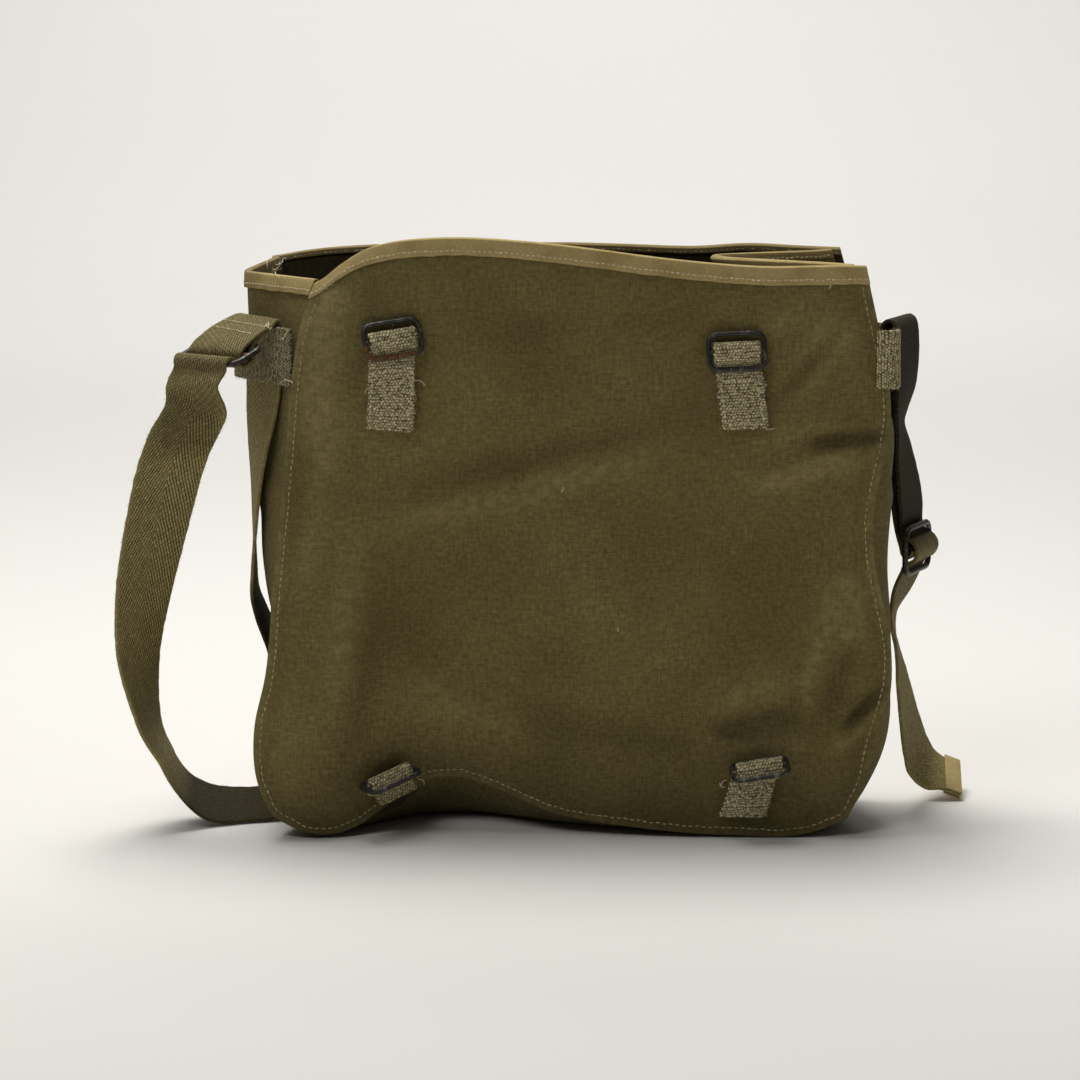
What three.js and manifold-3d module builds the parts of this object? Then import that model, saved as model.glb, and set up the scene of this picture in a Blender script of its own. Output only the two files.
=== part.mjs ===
// A soft canvas pack that stands open: two panels, one long gusset, taped rims, webbing tabs with
// wire buckles, two side keepers and two shoulder straps on three-bar slides.
// Millimetres, +Z up, +X to the right, -Y towards the panel that carries the buckles.
// The origin is on the floor under the middle of the bag.
import * as THREE from "three";
import Module from "manifold-3d";

const wasm = await Module();
wasm.setup();

// Cloth and wire sizes
const CANVAS = 1.6;
const TAPE = 1.0;
const TAPE_DEPTH = 9;
const GAP = 0.3;
const TAPE_SLACK = 0.45;
const WRAP_SLACK = 0.5;
const WRAP_LOOSE = 2.3;
const SEAM_LIP = 5;
const TAB_WIDTH = 25.4;
const TAB_CLOTH = 1.6;
const STRAP_WIDTH = 38;
const STRAP_CLOTH = 2;
const KEEPER_HEIGHT = 32;
const KEEPER_CLOTH = 1.8;
const BUCKLE_HALF_WIDTH = 15.8;
const BUCKLE_HALF_HEIGHT = 10.1;
const BUCKLE_CORNER = 5.2;
const BUCKLE_WIRE = 1.4;
const SLIDE_HALF_WIDTH = 22;
const SLIDE_HALF_HEIGHT = 13;
const SLIDE_CORNER = 6.5;
const SLIDE_WIRE = 1.75;
const TIP_LENGTH = 9;

// Nominal panel size, used to turn millimetres into panel fractions
const PANEL_WIDE = 340;
const PANEL_TALL = 325;

// Back panel: the four edges of the canvas, each a row of points
const BACK_LEFT = [
  { x: -172, y: -58, z: 13 },
  { x: -180.5, y: -58, z: 28 },
  { x: -183, y: -57, z: 56 },
  { x: -181, y: -56, z: 73 },
  { x: -175.5, y: -54, z: 90 },
  { x: -173.5, y: -52, z: 112 },
  { x: -171.5, y: -50, z: 140 },
  { x: -166.7, y: -47, z: 186 },
  { x: -163, y: -45, z: 225 },
  { x: -160, y: -42, z: 262 },
  { x: -155, y: -40, z: 290 },
  { x: -146.5, y: -38, z: 311 },
];
const BACK_BOTTOM = [
  { x: -172, y: -58, z: 13 },
  { x: -157, y: -60, z: 3.6 },
  { x: -142, y: -60, z: 1.2 },
  { x: -128, y: -57, z: 3.2 },
  { x: -114, y: -49, z: 12 },
  { x: -100, y: -38, z: 21 },
  { x: -86, y: -29, z: 28.5 },
  { x: -68, y: -27, z: 30 },
  { x: -50, y: -31, z: 25 },
  { x: -37, y: -37, z: 20 },
  { x: -21, y: -43, z: 13.6 },
  { x: -2, y: -48, z: 9 },
  { x: 26, y: -53, z: 6 },
  { x: 54, y: -56, z: 3 },
  { x: 91, y: -57, z: 1.2 },
  { x: 128, y: -57, z: 1 },
  { x: 152, y: -55, z: 10 },
];
const BACK_RIGHT = [
  { x: 152, y: -55, z: 10 },
  { x: 160, y: -55, z: 23 },
  { x: 165, y: -55, z: 40 },
  { x: 168, y: -54, z: 59 },
  { x: 173, y: -54, z: 72 },
  { x: 177, y: -53, z: 85 },
  { x: 178, y: -52, z: 100 },
  { x: 175, y: -51, z: 122 },
  { x: 168.5, y: -50, z: 149 },
  { x: 165.5, y: -50, z: 174 },
  { x: 167, y: -49, z: 192 },
  { x: 172, y: -48, z: 212 },
  { x: 176, y: -48, z: 235 },
  { x: 175.5, y: -47, z: 253 },
  { x: 171, y: -46, z: 277 },
  { x: 166.5, y: -46, z: 297 },
  { x: 161, y: -46, z: 321.3 },
];
const BACK_TOP = [
  { x: -146.5, y: -38, z: 311 },
  { x: -138, y: -41, z: 315.6 },
  { x: -126.5, y: -45, z: 325.6 },
  { x: -110, y: -50, z: 333.3 },
  { x: -87, y: -52, z: 336.9 },
  { x: -60, y: -53, z: 337.5 },
  { x: -21, y: -53, z: 334.7 },
  { x: 12, y: -52, z: 330.7 },
  { x: 46, y: -51, z: 326.1 },
  { x: 79, y: -50, z: 322.7 },
  { x: 107, y: -49, z: 321 },
  { x: 135, y: -48, z: 321.4 },
  { x: 161, y: -46, z: 321.3 },
];

// Front panel: plainer edges on the far side
const FRONT_LEFT = [
  { x: -168, y: 52, z: 11 },
  { x: -176, y: 55, z: 32 },
  { x: -174, y: 58, z: 80 },
  { x: -169, y: 62, z: 150 },
  { x: -168, y: 66, z: 220 },
  { x: -171, y: 69, z: 275 },
  { x: -176.5, y: 71, z: 316.6 },
];
const FRONT_BOTTOM = [
  { x: -168, y: 52, z: 11 },
  { x: -150, y: 55, z: 2 },
  { x: -120, y: 57, z: 1 },
  { x: -40, y: 59, z: 1 },
  { x: 40, y: 59, z: 1 },
  { x: 110, y: 56, z: 1 },
  { x: 132, y: 54, z: 2 },
  { x: 150, y: 52, z: 11 },
];
const FRONT_RIGHT = [
  { x: 150, y: 52, z: 11 },
  { x: 165, y: 54, z: 40 },
  { x: 171, y: 55, z: 90 },
  { x: 168, y: 53, z: 160 },
  { x: 171, y: 50, z: 225 },
  { x: 164, y: 45, z: 280 },
  { x: 152, y: 38, z: 324.4 },
];
const FRONT_TOP = [
  { x: -176.5, y: 71, z: 316.6 },
  { x: -160, y: 70, z: 319.4 },
  { x: -143, y: 68, z: 322.4 },
  { x: -127, y: 66, z: 323.2 },
  { x: -60, y: 61, z: 325 },
  { x: 10, y: 54, z: 325.6 },
  { x: 66, y: 46, z: 324.4 },
  { x: 97, y: 42, z: 326.4 },
  { x: 123, y: 40, z: 325.4 },
  { x: 152, y: 38, z: 324.4 },
];

// Soft folds of the back panel: centre, direction from +X in degrees, half length, half width, height
const BACK_FOLDS = [
  { x: 0, z: 170, lie: 0, half: 130, wide: 120, out: 7 },
  { x: -122, z: 275, lie: 96, half: 60, wide: 17, out: 5 },
  { x: -150, z: 45, lie: 80, half: 40, wide: 26, out: 7 },
  { x: -80, z: 62, lie: 6, half: 40, wide: 15, out: 13 },
  { x: -108, z: 36, lie: 30, half: 22, wide: 10, out: 5 },
  { x: 60, z: 60, lie: 175, half: 60, wide: 22, out: 3 },
  { x: 156, z: 68, lie: 118, half: 26, wide: 8, out: 5 },
  { x: 150, z: 205, lie: 130, half: 30, wide: 9, out: -4 },
  { x: 140, z: 168, lie: 20, half: 34, wide: 10, out: 3 },
  { x: 96, z: 70, lie: 8, half: 30, wide: 12, out: -3 },
  { x: 20, z: 300, lie: 172, half: 80, wide: 12, out: 2 },
];
const FRONT_FOLDS = [
  { x: 0, z: 165, lie: 0, half: 120, wide: 110, out: 12 },
  { x: -70, z: 90, lie: 40, half: 60, wide: 18, out: 3 },
  { x: 80, z: 230, lie: 120, half: 60, wide: 16, out: -3 },
];

// Gusset folds at each side, from the floor up: out is the push away from the bag, peak where across
// the strip it is greatest, crease how sharp it is, lift the rise of its middle
const GUSSET_LEFT = [
  { z: 0, out: 0, peak: 0.5, crease: 0, lift: 0 },
  { z: 14, out: -9, peak: 0.5, crease: 0, lift: 0 },
  { z: 28, out: -14, peak: 0.5, crease: 0, lift: 0 },
  { z: 45, out: -14, peak: 0.5, crease: 0, lift: 0 },
  { z: 75, out: -12, peak: 0.5, crease: 0, lift: 0 },
  { z: 95, out: -5, peak: 0.5, crease: 0, lift: 0 },
  { z: 112, out: 5, peak: 0.5, crease: 0, lift: 0 },
  { z: 133, out: 13, peak: 0.5, crease: 0, lift: 0 },
  { z: 170, out: 17, peak: 0.48, crease: 0, lift: 0 },
  { z: 195, out: 17, peak: 0.48, crease: 0, lift: 0 },
  { z: 220, out: 16, peak: 0.5, crease: 0.3, lift: 0 },
  { z: 245, out: 18, peak: 0.5, crease: 0.8, lift: 0 },
  { z: 264, out: 25, peak: 0.5, crease: 1, lift: 0 },
  { z: 290, out: 28, peak: 0.51, crease: 1, lift: -2 },
  { z: 311, out: 31, peak: 0.52, crease: 1, lift: -6 },
];
const GUSSET_RIGHT = [
  { z: 0, out: 0, peak: 0.4, crease: 0, lift: 0 },
  { z: 16, out: 8, peak: 0.35, crease: 0, lift: 0 },
  { z: 32, out: 11, peak: 0.32, crease: 0, lift: 0 },
  { z: 55, out: 17, peak: 0.3, crease: 0, lift: 0 },
  { z: 78, out: 11, peak: 0.28, crease: 0, lift: 0 },
  { z: 102, out: 8, peak: 0.28, crease: 0, lift: 0 },
  { z: 140, out: 12, peak: 0.28, crease: 0, lift: 0 },
  { z: 180, out: 18, peak: 0.28, crease: 0, lift: 0 },
  { z: 208, out: 14, peak: 0.28, crease: 0, lift: 0 },
  { z: 234, out: 10, peak: 0.28, crease: 0, lift: 0 },
  { z: 250, out: 3, peak: 0.35, crease: 0, lift: 0 },
  { z: 266, out: -22, peak: 0.42, crease: 0, lift: 4 },
  { z: 290, out: -52, peak: 0.47, crease: 0, lift: 11 },
  { z: 321, out: -76, peak: 0.5, crease: 0, lift: 19 },
];

// Webbing tabs: foot and head on the panel, the rise of each across the tab in degrees, the buckle bar's
// height off the panel, the buckle's forward pitch, and the slack between webbing and panel
const TABS = [
  {
    name: "upper_left",
    foot: { x: -104.9, z: 232.2, rise: -6 },
    head: { x: -103.5, z: 283.1, rise: 8.5 },
    bar: 4.2,
    pitch: 14,
    slack: 0.3,
  },
  {
    name: "upper_right",
    foot: { x: 94.0, z: 232.6, rise: 2 },
    head: { x: 88.2, z: 276.2, rise: 2.5 },
    bar: 4.7,
    pitch: 8,
    slack: 0.3,
  },
  {
    name: "lower_left",
    foot: { x: -103.2, z: 21.2, rise: 19 },
    head: { x: -113.0, z: 38.0, rise: 20 },
    bar: 12.8,
    pitch: 100,
    slack: 0.6,
  },
  {
    name: "lower_right",
    foot: { x: 93.4, z: 12.9, rise: -1 },
    head: { x: 101.7, z: 42.8, rise: 9.5 },
    bar: 12.4,
    pitch: 72,
    slack: 0.3,
  },
];

// Side keepers: webbing bands seen from above, sewn at both seams, with the rise of an end where it has one
const KEEPER_LEFT_Z = 270.5;
const KEEPER_LEFT = [
  { x: -160.3, y: -38.6 },
  { x: -169, y: -27.4 },
  { x: -179.5, y: -12 },
  { x: -189.4, y: 3.5 },
  { x: -194.3, y: 13 },
  { x: -194.6, y: 22 },
  { x: -188.6, y: 37 },
  { x: -178.4, y: 56 },
  { x: -173.2, y: 66 },
];
const KEEPER_RIGHT_Z = 266;
const KEEPER_RIGHT = [
  { x: 167.2, y: -50.6, lift: 5 },
  { x: 173, y: -50.2, lift: 5 },
  { x: 178, y: -46.8, lift: 4.5 },
  { x: 180, y: -38.5, lift: 4 },
  { x: 179.4, y: -22, lift: 2 },
  { x: 178.2, y: -8 },
  { x: 178.6, y: -2 },
  { x: 182.4, y: 9 },
  { x: 187.6, y: 21 },
  { x: 190.4, y: 29.5 },
  { x: 189, y: 36 },
  { x: 181.5, y: 41 },
  { x: 169.6, y: 42.6 },
];

// Slides: middle, direction away from the keeper, direction of the bars
const SLIDE_LEFT = {
  middle: [-200.8, -39.5, 273],
  away: [-0.57, -0.76, -0.31],
  bars: [-0.8, 0.6, 0],
};
const SLIDE_RIGHT = {
  middle: [196.6, 21.2, 154],
  away: [0, 0, -1],
  bars: [0.38, 0.925, 0],
};

// Left strap in the slide: along the slide, above the slide, and the swing of its width in the slide's plane,
// in degrees, where it has one. First the sewn end, then the roll on it.
const LEFT_SEWN = [
  { along: -25, above: 3.8 },
  { along: -19, above: 4 },
  { along: -13.3, above: 3.9 },
  { along: -6.6, above: 0.4 },
  { along: -2.8, above: -2.5 },
  { along: 0.4, above: -3.4 },
  { along: 2.8, above: -2.1 },
  { along: 3.5, above: 0.3 },
  { along: 2.4, above: 2.6 },
  { along: -0.4, above: 3.6 },
  { along: -6, above: 4.8 },
  { along: -13.5, above: 6.3 },
  { along: -25, above: 6.3, swing: -6 },
  { along: -33, above: 5.9, swing: -13 },
];
const LEFT_TUCKED = [
  { along: 17.1, above: -1.6 },
  { along: 16.7, above: 1 },
  { along: 15, above: 3.1 },
  { along: 12.3, above: 3.6 },
  { along: 9.2, above: 1.7 },
  { along: 6.6, above: -2.4 },
  { along: 3, above: -5.4 },
  { along: -2, above: -6.2 },
  { along: -8, above: -5.8 },
];
// Left strap's way from the keeper to the floor and back up: turn is the way its width points,
// in degrees round from -X towards +Y, tilt the rise of the width
const LEFT_WAY = [
  { x: -179.4, y: -12, z: 290.6, turn: 52, tilt: 0 },
  { x: -176.9, y: -10.4, z: 287.6, turn: 56.5, tilt: 0 },
  { x: -176.9, y: -10.4, z: 278, turn: 56.5, tilt: 0 },
  { x: -177, y: -10.4, z: 257, turn: 56.5, tilt: 0 },
  { x: -179.5, y: -7, z: 232, turn: 63, tilt: 0 },
  { x: -181.7, y: -3, z: 213, turn: 73, tilt: 0 },
  { x: -183, y: 0, z: 193, turn: 80, tilt: 0 },
  { x: -184.5, y: 3, z: 155, turn: 88, tilt: 0 },
  { x: -184.4, y: 5, z: 130, turn: 92, tilt: 0 },
  { x: -178.6, y: 8, z: 112, turn: 97, tilt: 0 },
  { x: -173, y: 10.5, z: 95, turn: 97, tilt: 0 },
  { x: -171.4, y: 11.5, z: 78, turn: 93, tilt: 0 },
  { x: -171.6, y: 11.5, z: 60, turn: 91, tilt: 0 },
  { x: -169.8, y: 10.5, z: 45, turn: 88, tilt: 2 },
  { x: -167.8, y: 9, z: 30, turn: 85, tilt: 6 },
  { x: -167, y: 7.5, z: 19, turn: 85, tilt: 11 },
  { x: -169.4, y: 5.5, z: 11, turn: 85, tilt: 16 },
  { x: -176.5, y: 2.5, z: 7.9, turn: 84, tilt: 18.5 },
  { x: -191, y: -2, z: 7.9, turn: 82, tilt: 18.5 },
  { x: -203, y: -8, z: 9, turn: 79, tilt: 21 },
  { x: -211.5, y: -12.7, z: 11.7, turn: 78, tilt: 25 },
  { x: -219.5, y: -16.4, z: 17, turn: 81, tilt: 24 },
  { x: -229, y: -20, z: 29, turn: 90, tilt: 12 },
  { x: -236, y: -22, z: 43, turn: 95, tilt: 4 },
  { x: -241.5, y: -25, z: 54, turn: 101, tilt: 0 },
  { x: -246, y: -28, z: 74, turn: 109, tilt: 0 },
  { x: -248.5, y: -32, z: 102, turn: 124, tilt: 0 },
  { x: -245.5, y: -37, z: 131, turn: 138, tilt: 0 },
  { x: -240.5, y: -40, z: 158, turn: 150, tilt: 0 },
  { x: -234, y: -43, z: 186, turn: 160, tilt: 0 },
  { x: -226.5, y: -46, z: 214, turn: 172, tilt: 0 },
  { x: -219.5, y: -48.5, z: 230, turn: 184, tilt: -5 },
  { x: -213, y: -51.5, z: 243, turn: 202, tilt: -5 },
  { x: -214.6, y: -54, z: 257, turn: 220, tilt: 0 },
];

// Right strap in the slide, in the same two measures
const RIGHT_SEWN = [
  { along: -0.6, above: 3.4 },
  { along: 2.2, above: 2.6 },
  { along: 3.4, above: 0 },
  { along: 2.2, above: -2.6 },
  { along: -0.6, above: -3.4 },
  { along: -6, above: -5 },
  { along: -13, above: -6.7 },
];
const RIGHT_THREADED = [
  { along: -20, above: -3.8 },
  { along: -13.6, above: -3.8 },
  { along: -7.9, above: -1.2 },
  { along: -5.4, above: 3.7 },
  { along: 0, above: 6.2 },
  { along: 5.4, above: 3.7 },
  { along: 7.9, above: -1.2 },
  { along: 13.6, above: -3.8 },
];
const RIGHT_UP = [
  { x: 187.4, y: 22.8, z: 186, turn: 112, tilt: 0 },
  { x: 185.8, y: 20.8, z: 200, turn: 111, tilt: 0 },
  { x: 184, y: 20.9, z: 213, turn: 105, tilt: 0 },
  { x: 181.9, y: 21, z: 226, turn: 98, tilt: 0 },
  { x: 182.2, y: 19.8, z: 239, turn: 101, tilt: 0 },
  { x: 180.8, y: 15.8, z: 252, turn: 109, tilt: 0 },
  { x: 179.9, y: 14.3, z: 266, turn: 112, tilt: 0 },
  { x: 179.9, y: 14.2, z: 279, turn: 113, tilt: 0 },
  { x: 180.4, y: 14, z: 284.2, turn: 113, tilt: 0 },
  { x: 182.2, y: 13.2, z: 287.2, turn: 113, tilt: 0 },
  { x: 184.1, y: 12.4, z: 288, turn: 113, tilt: 0 },
  { x: 186, y: 11.6, z: 287.2, turn: 113, tilt: 0 },
  { x: 187.7, y: 10.8, z: 284.2, turn: 113, tilt: 0 },
  { x: 188.2, y: 10.6, z: 278, turn: 113, tilt: 0 },
  { x: 188.4, y: 10.6, z: 266, turn: 113, tilt: 0 },
  { x: 188.6, y: 11, z: 252, turn: 112, tilt: 0 },
  { x: 187.4, y: 12.4, z: 240, turn: 106, tilt: 0 },
  { x: 185.6, y: 14, z: 226, turn: 99, tilt: 0 },
  { x: 187.2, y: 15.4, z: 213, turn: 105, tilt: 0 },
  { x: 189.4, y: 17, z: 199, turn: 111, tilt: 0 },
  { x: 191.6, y: 18.8, z: 186, turn: 112, tilt: 0 },
];
const RIGHT_TAIL = [
  { x: 187.6, y: 22, z: 129, turn: 111, tilt: 0 },
  { x: 183.4, y: 21, z: 117, turn: 100, tilt: 0 },
  { x: 183.6, y: 20.6, z: 106, turn: 95, tilt: 0 },
  { x: 185, y: 20.8, z: 97, turn: 93, tilt: 4 },
  { x: 186.2, y: 22.8, z: 88, turn: 95, tilt: 14 },
  { x: 190, y: 29, z: 69, turn: 100, tilt: 28 },
  { x: 195, y: 42, z: 46, turn: 106, tilt: 32 },
  { x: 201, y: 54, z: 27, turn: 110, tilt: 28 },
  { x: 209, y: 60.5, z: 17.5, turn: 106, tilt: 21 },
  { x: 215, y: 62, z: 14, turn: 98, tilt: 18 },
  { x: 220.5, y: 62.5, z: 11.8, turn: 97, tilt: 18 },
  { x: 226, y: 63, z: 9.6, turn: 97, tilt: 18 },
];

// Grid lines of the panels, as shares of the width and of the height
const LIP_S = SEAM_LIP / PANEL_WIDE;
const LIP_T = SEAM_LIP / PANEL_TALL;
const RIM_T = (TAPE_DEPTH + 1.5) / PANEL_TALL;
const BACK_COLUMNS = 21;
const BACK_ROWS = 17;
const GUSSET_ACROSS = [0, 0.05, 0.14, 0.24, 0.34, 0.43, 0.5, 0.57, 0.66, 0.76, 0.86, 0.95, 1];

const vec = (x, y, z) => new THREE.Vector3(x, y, z);
const mix = (a, b, k) => a + (b - a) * k;
const clamp01 = (v) => Math.min(1, Math.max(0, v));
const smooth = (v) => clamp01(v) * clamp01(v) * (3 - 2 * clamp01(v));
const rad = (degrees) => (degrees * Math.PI) / 180;

function curveThrough(rows) {
  const points = rows.map((r) => vec(r.x, r.y, r.z));
  const curve = new THREE.CatmullRomCurve3(points, false, "centripetal");
  curve.arcLengthDivisions = 400;
  return curve;
}

// A value between the rows of a table, by the column "z"
function between(rows, z, column) {
  const last = rows.length - 1;
  for (let i = 0; i < last; i++) {
    if (z <= rows[i + 1].z) {
      const k = smooth((z - rows[i].z) / (rows[i + 1].z - rows[i].z));
      return mix(rows[i][column], rows[i + 1][column], k);
    }
  }
  return rows[last][column];
}

// Even grid lines with one more line near each end, at the seam lip or the rim tape's lower edge
function gridLines(count, lipStart, lipEnd) {
  const lines = [0, lipStart];
  for (let i = 1; i < count - 1; i++) lines.push(mix(lipStart, 1 - lipEnd, i / (count - 1)));
  lines.push(1 - lipEnd, 1);
  return lines;
}

// A panel as a patch between four edge curves, with folds pushed out along the panel's facing
function panelSurface(left, right, bottom, top, folds, facing) {
  const edges = [left, right, bottom, top].map(curveThrough);
  const corner = [0, 1].map((s) => [edges[2].getPointAt(s), edges[3].getPointAt(s)]);
  return (s, t) => {
    const u = clamp01(s);
    const v = clamp01(t);
    const sides = edges[0].getPointAt(v).multiplyScalar(1 - u);
    sides.add(edges[1].getPointAt(v).multiplyScalar(u));
    const ends = edges[2].getPointAt(u).multiplyScalar(1 - v);
    ends.add(edges[3].getPointAt(u).multiplyScalar(v));
    const flat = vec(0, 0, 0);
    flat.addScaledVector(corner[0][0], (1 - u) * (1 - v));
    flat.addScaledVector(corner[1][0], u * (1 - v));
    flat.addScaledVector(corner[0][1], (1 - u) * v);
    flat.addScaledVector(corner[1][1], u * v);
    const point = sides.add(ends).sub(flat);
    const edge = Math.min(u, 1 - u) * PANEL_WIDE;
    const rim = Math.min(v, 1 - v) * PANEL_TALL;
    const hold = smooth(edge / 24) * smooth(rim / 24);
    let push = 0;
    for (const fold of folds) {
      const dx = point.x - fold.x;
      const dz = point.z - fold.z;
      const a = (dx * Math.cos(rad(fold.lie)) + dz * Math.sin(rad(fold.lie))) / fold.half;
      const b = (dz * Math.cos(rad(fold.lie)) - dx * Math.sin(rad(fold.lie))) / fold.wide;
      push += fold.out * Math.exp(-a * a - b * b);
    }
    point.y += facing * push * hold;
    return point;
  };
}

// Unit normal of a surface, turned to the given side of Y
function normalOf(surface, s, t, facing) {
  const h = 0.004;
  const ds = surface(Math.min(1, s + h), t).sub(surface(Math.max(0, s - h), t));
  const dt = surface(s, Math.min(1, t + h)).sub(surface(s, Math.max(0, t - h)));
  const n = ds.cross(dt).normalize();
  return n.y * facing < 0 ? n.negate() : n;
}

function meshGeometry(points, faces) {
  let volume = 0;
  for (const [a, b, c] of faces) {
    volume += points[a].dot(points[b].clone().cross(points[c]));
  }
  const index = [];
  for (const [a, b, c] of faces) {
    if (volume > 0) index.push(a, b, c);
    else index.push(a, c, b);
  }
  const geometry = new THREE.BufferGeometry();
  geometry.setAttribute(
    "position",
    new THREE.Float32BufferAttribute(points.flatMap((p) => [p.x, p.y, p.z]), 3),
  );
  geometry.setIndex(index);
  geometry.computeVertexNormals();
  return geometry;
}

// A closed cloth wall from a grid of middle points: each point is moved both ways along its normal.
// bend(i, j, normal) may turn the normal at a point.
function clothWall(grid, thickness, bend) {
  const rows = grid.length;
  const columns = grid[0].length;
  const within = (k, count) => Math.min(count - 1, Math.max(0, k));
  const at = (i, j) => grid[within(i, rows)][within(j, columns)];
  const points = [];
  for (const side of [0.5, -0.5]) {
    for (let i = 0; i < rows; i++) {
      for (let j = 0; j < columns; j++) {
        const across = at(i + 1, j).clone().sub(at(i - 1, j));
        const along = at(i, j + 1).clone().sub(at(i, j - 1));
        let normal = across.cross(along).normalize();
        if (bend) normal = bend(i, j, normal);
        points.push(at(i, j).clone().addScaledVector(normal, side * thickness));
      }
    }
  }
  const id = (side, i, j) => side * rows * columns + i * columns + j;
  const faces = [];
  const quad = (a, b, c, d) => faces.push([a, b, c], [a, c, d]);
  for (let i = 0; i < rows - 1; i++) {
    for (let j = 0; j < columns - 1; j++) {
      quad(id(0, i, j), id(0, i + 1, j), id(0, i + 1, j + 1), id(0, i, j + 1));
      quad(id(1, i, j), id(1, i, j + 1), id(1, i + 1, j + 1), id(1, i + 1, j));
    }
  }
  for (let i = 0; i < rows - 1; i++) {
    const e = columns - 1;
    quad(id(0, i, 0), id(1, i, 0), id(1, i + 1, 0), id(0, i + 1, 0));
    quad(id(0, i + 1, e), id(1, i + 1, e), id(1, i, e), id(0, i, e));
  }
  for (let j = 0; j < columns - 1; j++) {
    const e = rows - 1;
    quad(id(0, 0, j + 1), id(1, 0, j + 1), id(1, 0, j), id(0, 0, j));
    quad(id(0, e, j), id(1, e, j), id(1, e, j + 1), id(0, e, j + 1));
  }
  return meshGeometry(points, faces);
}

// A closed solid through rings of equal outline; a loop joins its last ring to its first.
// The two faces of a four-cornered band have the same diagonals, so a twisted band keeps its thickness.
function loftRings(rings, outline, loop) {
  const n = outline.length;
  const points = rings.flat();
  const faces = [];
  const spans = loop ? rings.length : rings.length - 1;
  for (let i = 0; i < spans; i++) {
    const next = (i + 1) % rings.length;
    for (let j = 0; j < n; j++) {
      const k = (j + 1) % n;
      const quad = [i * n + j, next * n + j, next * n + k, i * n + k];
      const [a, b, c, d] = n === 4 && j >= 2 ? [...quad.slice(1), quad[0]] : quad;
      faces.push([a, b, c], [a, c, d]);
    }
  }
  if (!loop) {
    const end = (rings.length - 1) * n;
    for (const [a, b, c] of THREE.ShapeUtils.triangulateShape(outline, [])) {
      faces.push([a, b, c], [end + a, end + c, end + b]);
    }
    const flip = THREE.ShapeUtils.isClockWise(outline);
    if (flip) {
      const caps = 2 * (outline.length - 2);
      for (let i = faces.length - caps; i < faces.length; i++) faces[i].reverse();
    }
  }
  return meshGeometry(points, faces);
}

// A tape folded over a cloth edge: stations give the edge point, the way down and the cloth's normal
function tapeChannel(stations) {
  const inner = CANVAS / 2 + TAPE_SLACK;
  const outer = inner + TAPE;
  const outline = [
    [outer, TAPE_DEPTH],
    [outer, -GAP - TAPE],
    [-outer, -GAP - TAPE],
    [-outer, TAPE_DEPTH],
    [-inner, TAPE_DEPTH],
    [-inner, -GAP],
    [inner, -GAP],
    [inner, TAPE_DEPTH],
  ].map(([a, b]) => new THREE.Vector2(a, b));
  const rings = stations.map(({ edge, down, normal }) =>
    outline.map((o) => edge.clone().addScaledVector(normal, o.x).addScaledVector(down, o.y)),
  );
  return loftRings(rings, outline, false);
}

// A webbing ribbon along middle points, with the width's direction at each. A sheared ribbon keeps that
// direction even where it isn't square to the path.
function ribbon(path, width, thickness, sheared) {
  const half = width / 2;
  const deep = thickness / 2;
  const outline = [
    [-half, -deep],
    [half, -deep],
    [half, deep],
    [-half, deep],
  ].map(([a, b]) => new THREE.Vector2(a, b));
  const rings = path.map(({ point, side }, i) => {
    const before = path[Math.max(0, i - 1)].point;
    const after = path[Math.min(path.length - 1, i + 1)].point;
    const ahead = after.clone().sub(before).normalize();
    const square = side.clone().addScaledVector(ahead, -side.dot(ahead)).normalize();
    const wide = sheared ? side : square;
    const up = square.clone().cross(ahead).normalize();
    return outline.map((o) => point.clone().addScaledVector(wide, o.x).addScaledVector(up, o.y));
  });
  return loftRings(rings, outline, false);
}

// Fine points along rows with a width direction, thinned where the ribbon runs nearly straight
function ribbonPath(rows, longest, bendLimit) {
  const curve = new THREE.CatmullRomCurve3(rows.map((r) => r.point), false, "centripetal");
  const fine = [];
  const perRow = 10;
  for (let i = 0; i < rows.length - 1; i++) {
    for (let k = 0; k < perRow; k++) {
      const f = k / perRow;
      const side = rows[i].side.clone().lerp(rows[i + 1].side, f).normalize();
      fine.push({ point: curve.getPoint((i + f) / (rows.length - 1)), side });
    }
  }
  fine.push(rows[rows.length - 1]);
  const kept = [fine[0]];
  let bend = 0;
  let length = 0;
  for (let i = 1; i < fine.length - 1; i++) {
    const a = fine[i].point.clone().sub(fine[i - 1].point);
    const b = fine[i + 1].point.clone().sub(fine[i].point);
    bend += a.angleTo(b) + fine[i].side.angleTo(fine[i - 1].side);
    length += a.length();
    if (length > longest || bend > rad(bendLimit)) {
      kept.push(fine[i]);
      bend = 0;
      length = 0;
    }
  }
  kept.push(fine[fine.length - 1]);
  return kept;
}

const sideOf = (row) => {
  const level = Math.cos(rad(row.tilt));
  const turn = rad(row.turn);
  return vec(-Math.cos(turn) * level, Math.sin(turn) * level, Math.sin(rad(row.tilt)));
};
const wayRow = (row) => ({ point: vec(row.x, row.y, row.z), side: sideOf(row) });

function slideFrame(slide) {
  const middle = vec(...slide.middle);
  const away = vec(...slide.away).normalize();
  const bars = vec(...slide.bars);
  bars.addScaledVector(away, -bars.dot(away)).normalize();
  const above = bars.clone().cross(away).normalize();
  return { middle, away, bars, above };
}
const slideRow = (frame) => (row) => ({
  point: frame.middle.clone().addScaledVector(frame.away, row.along).addScaledVector(frame.above, row.above),
  side: frame.bars.clone().applyAxisAngle(frame.above, rad(row.swing || 0)),
});

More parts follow.
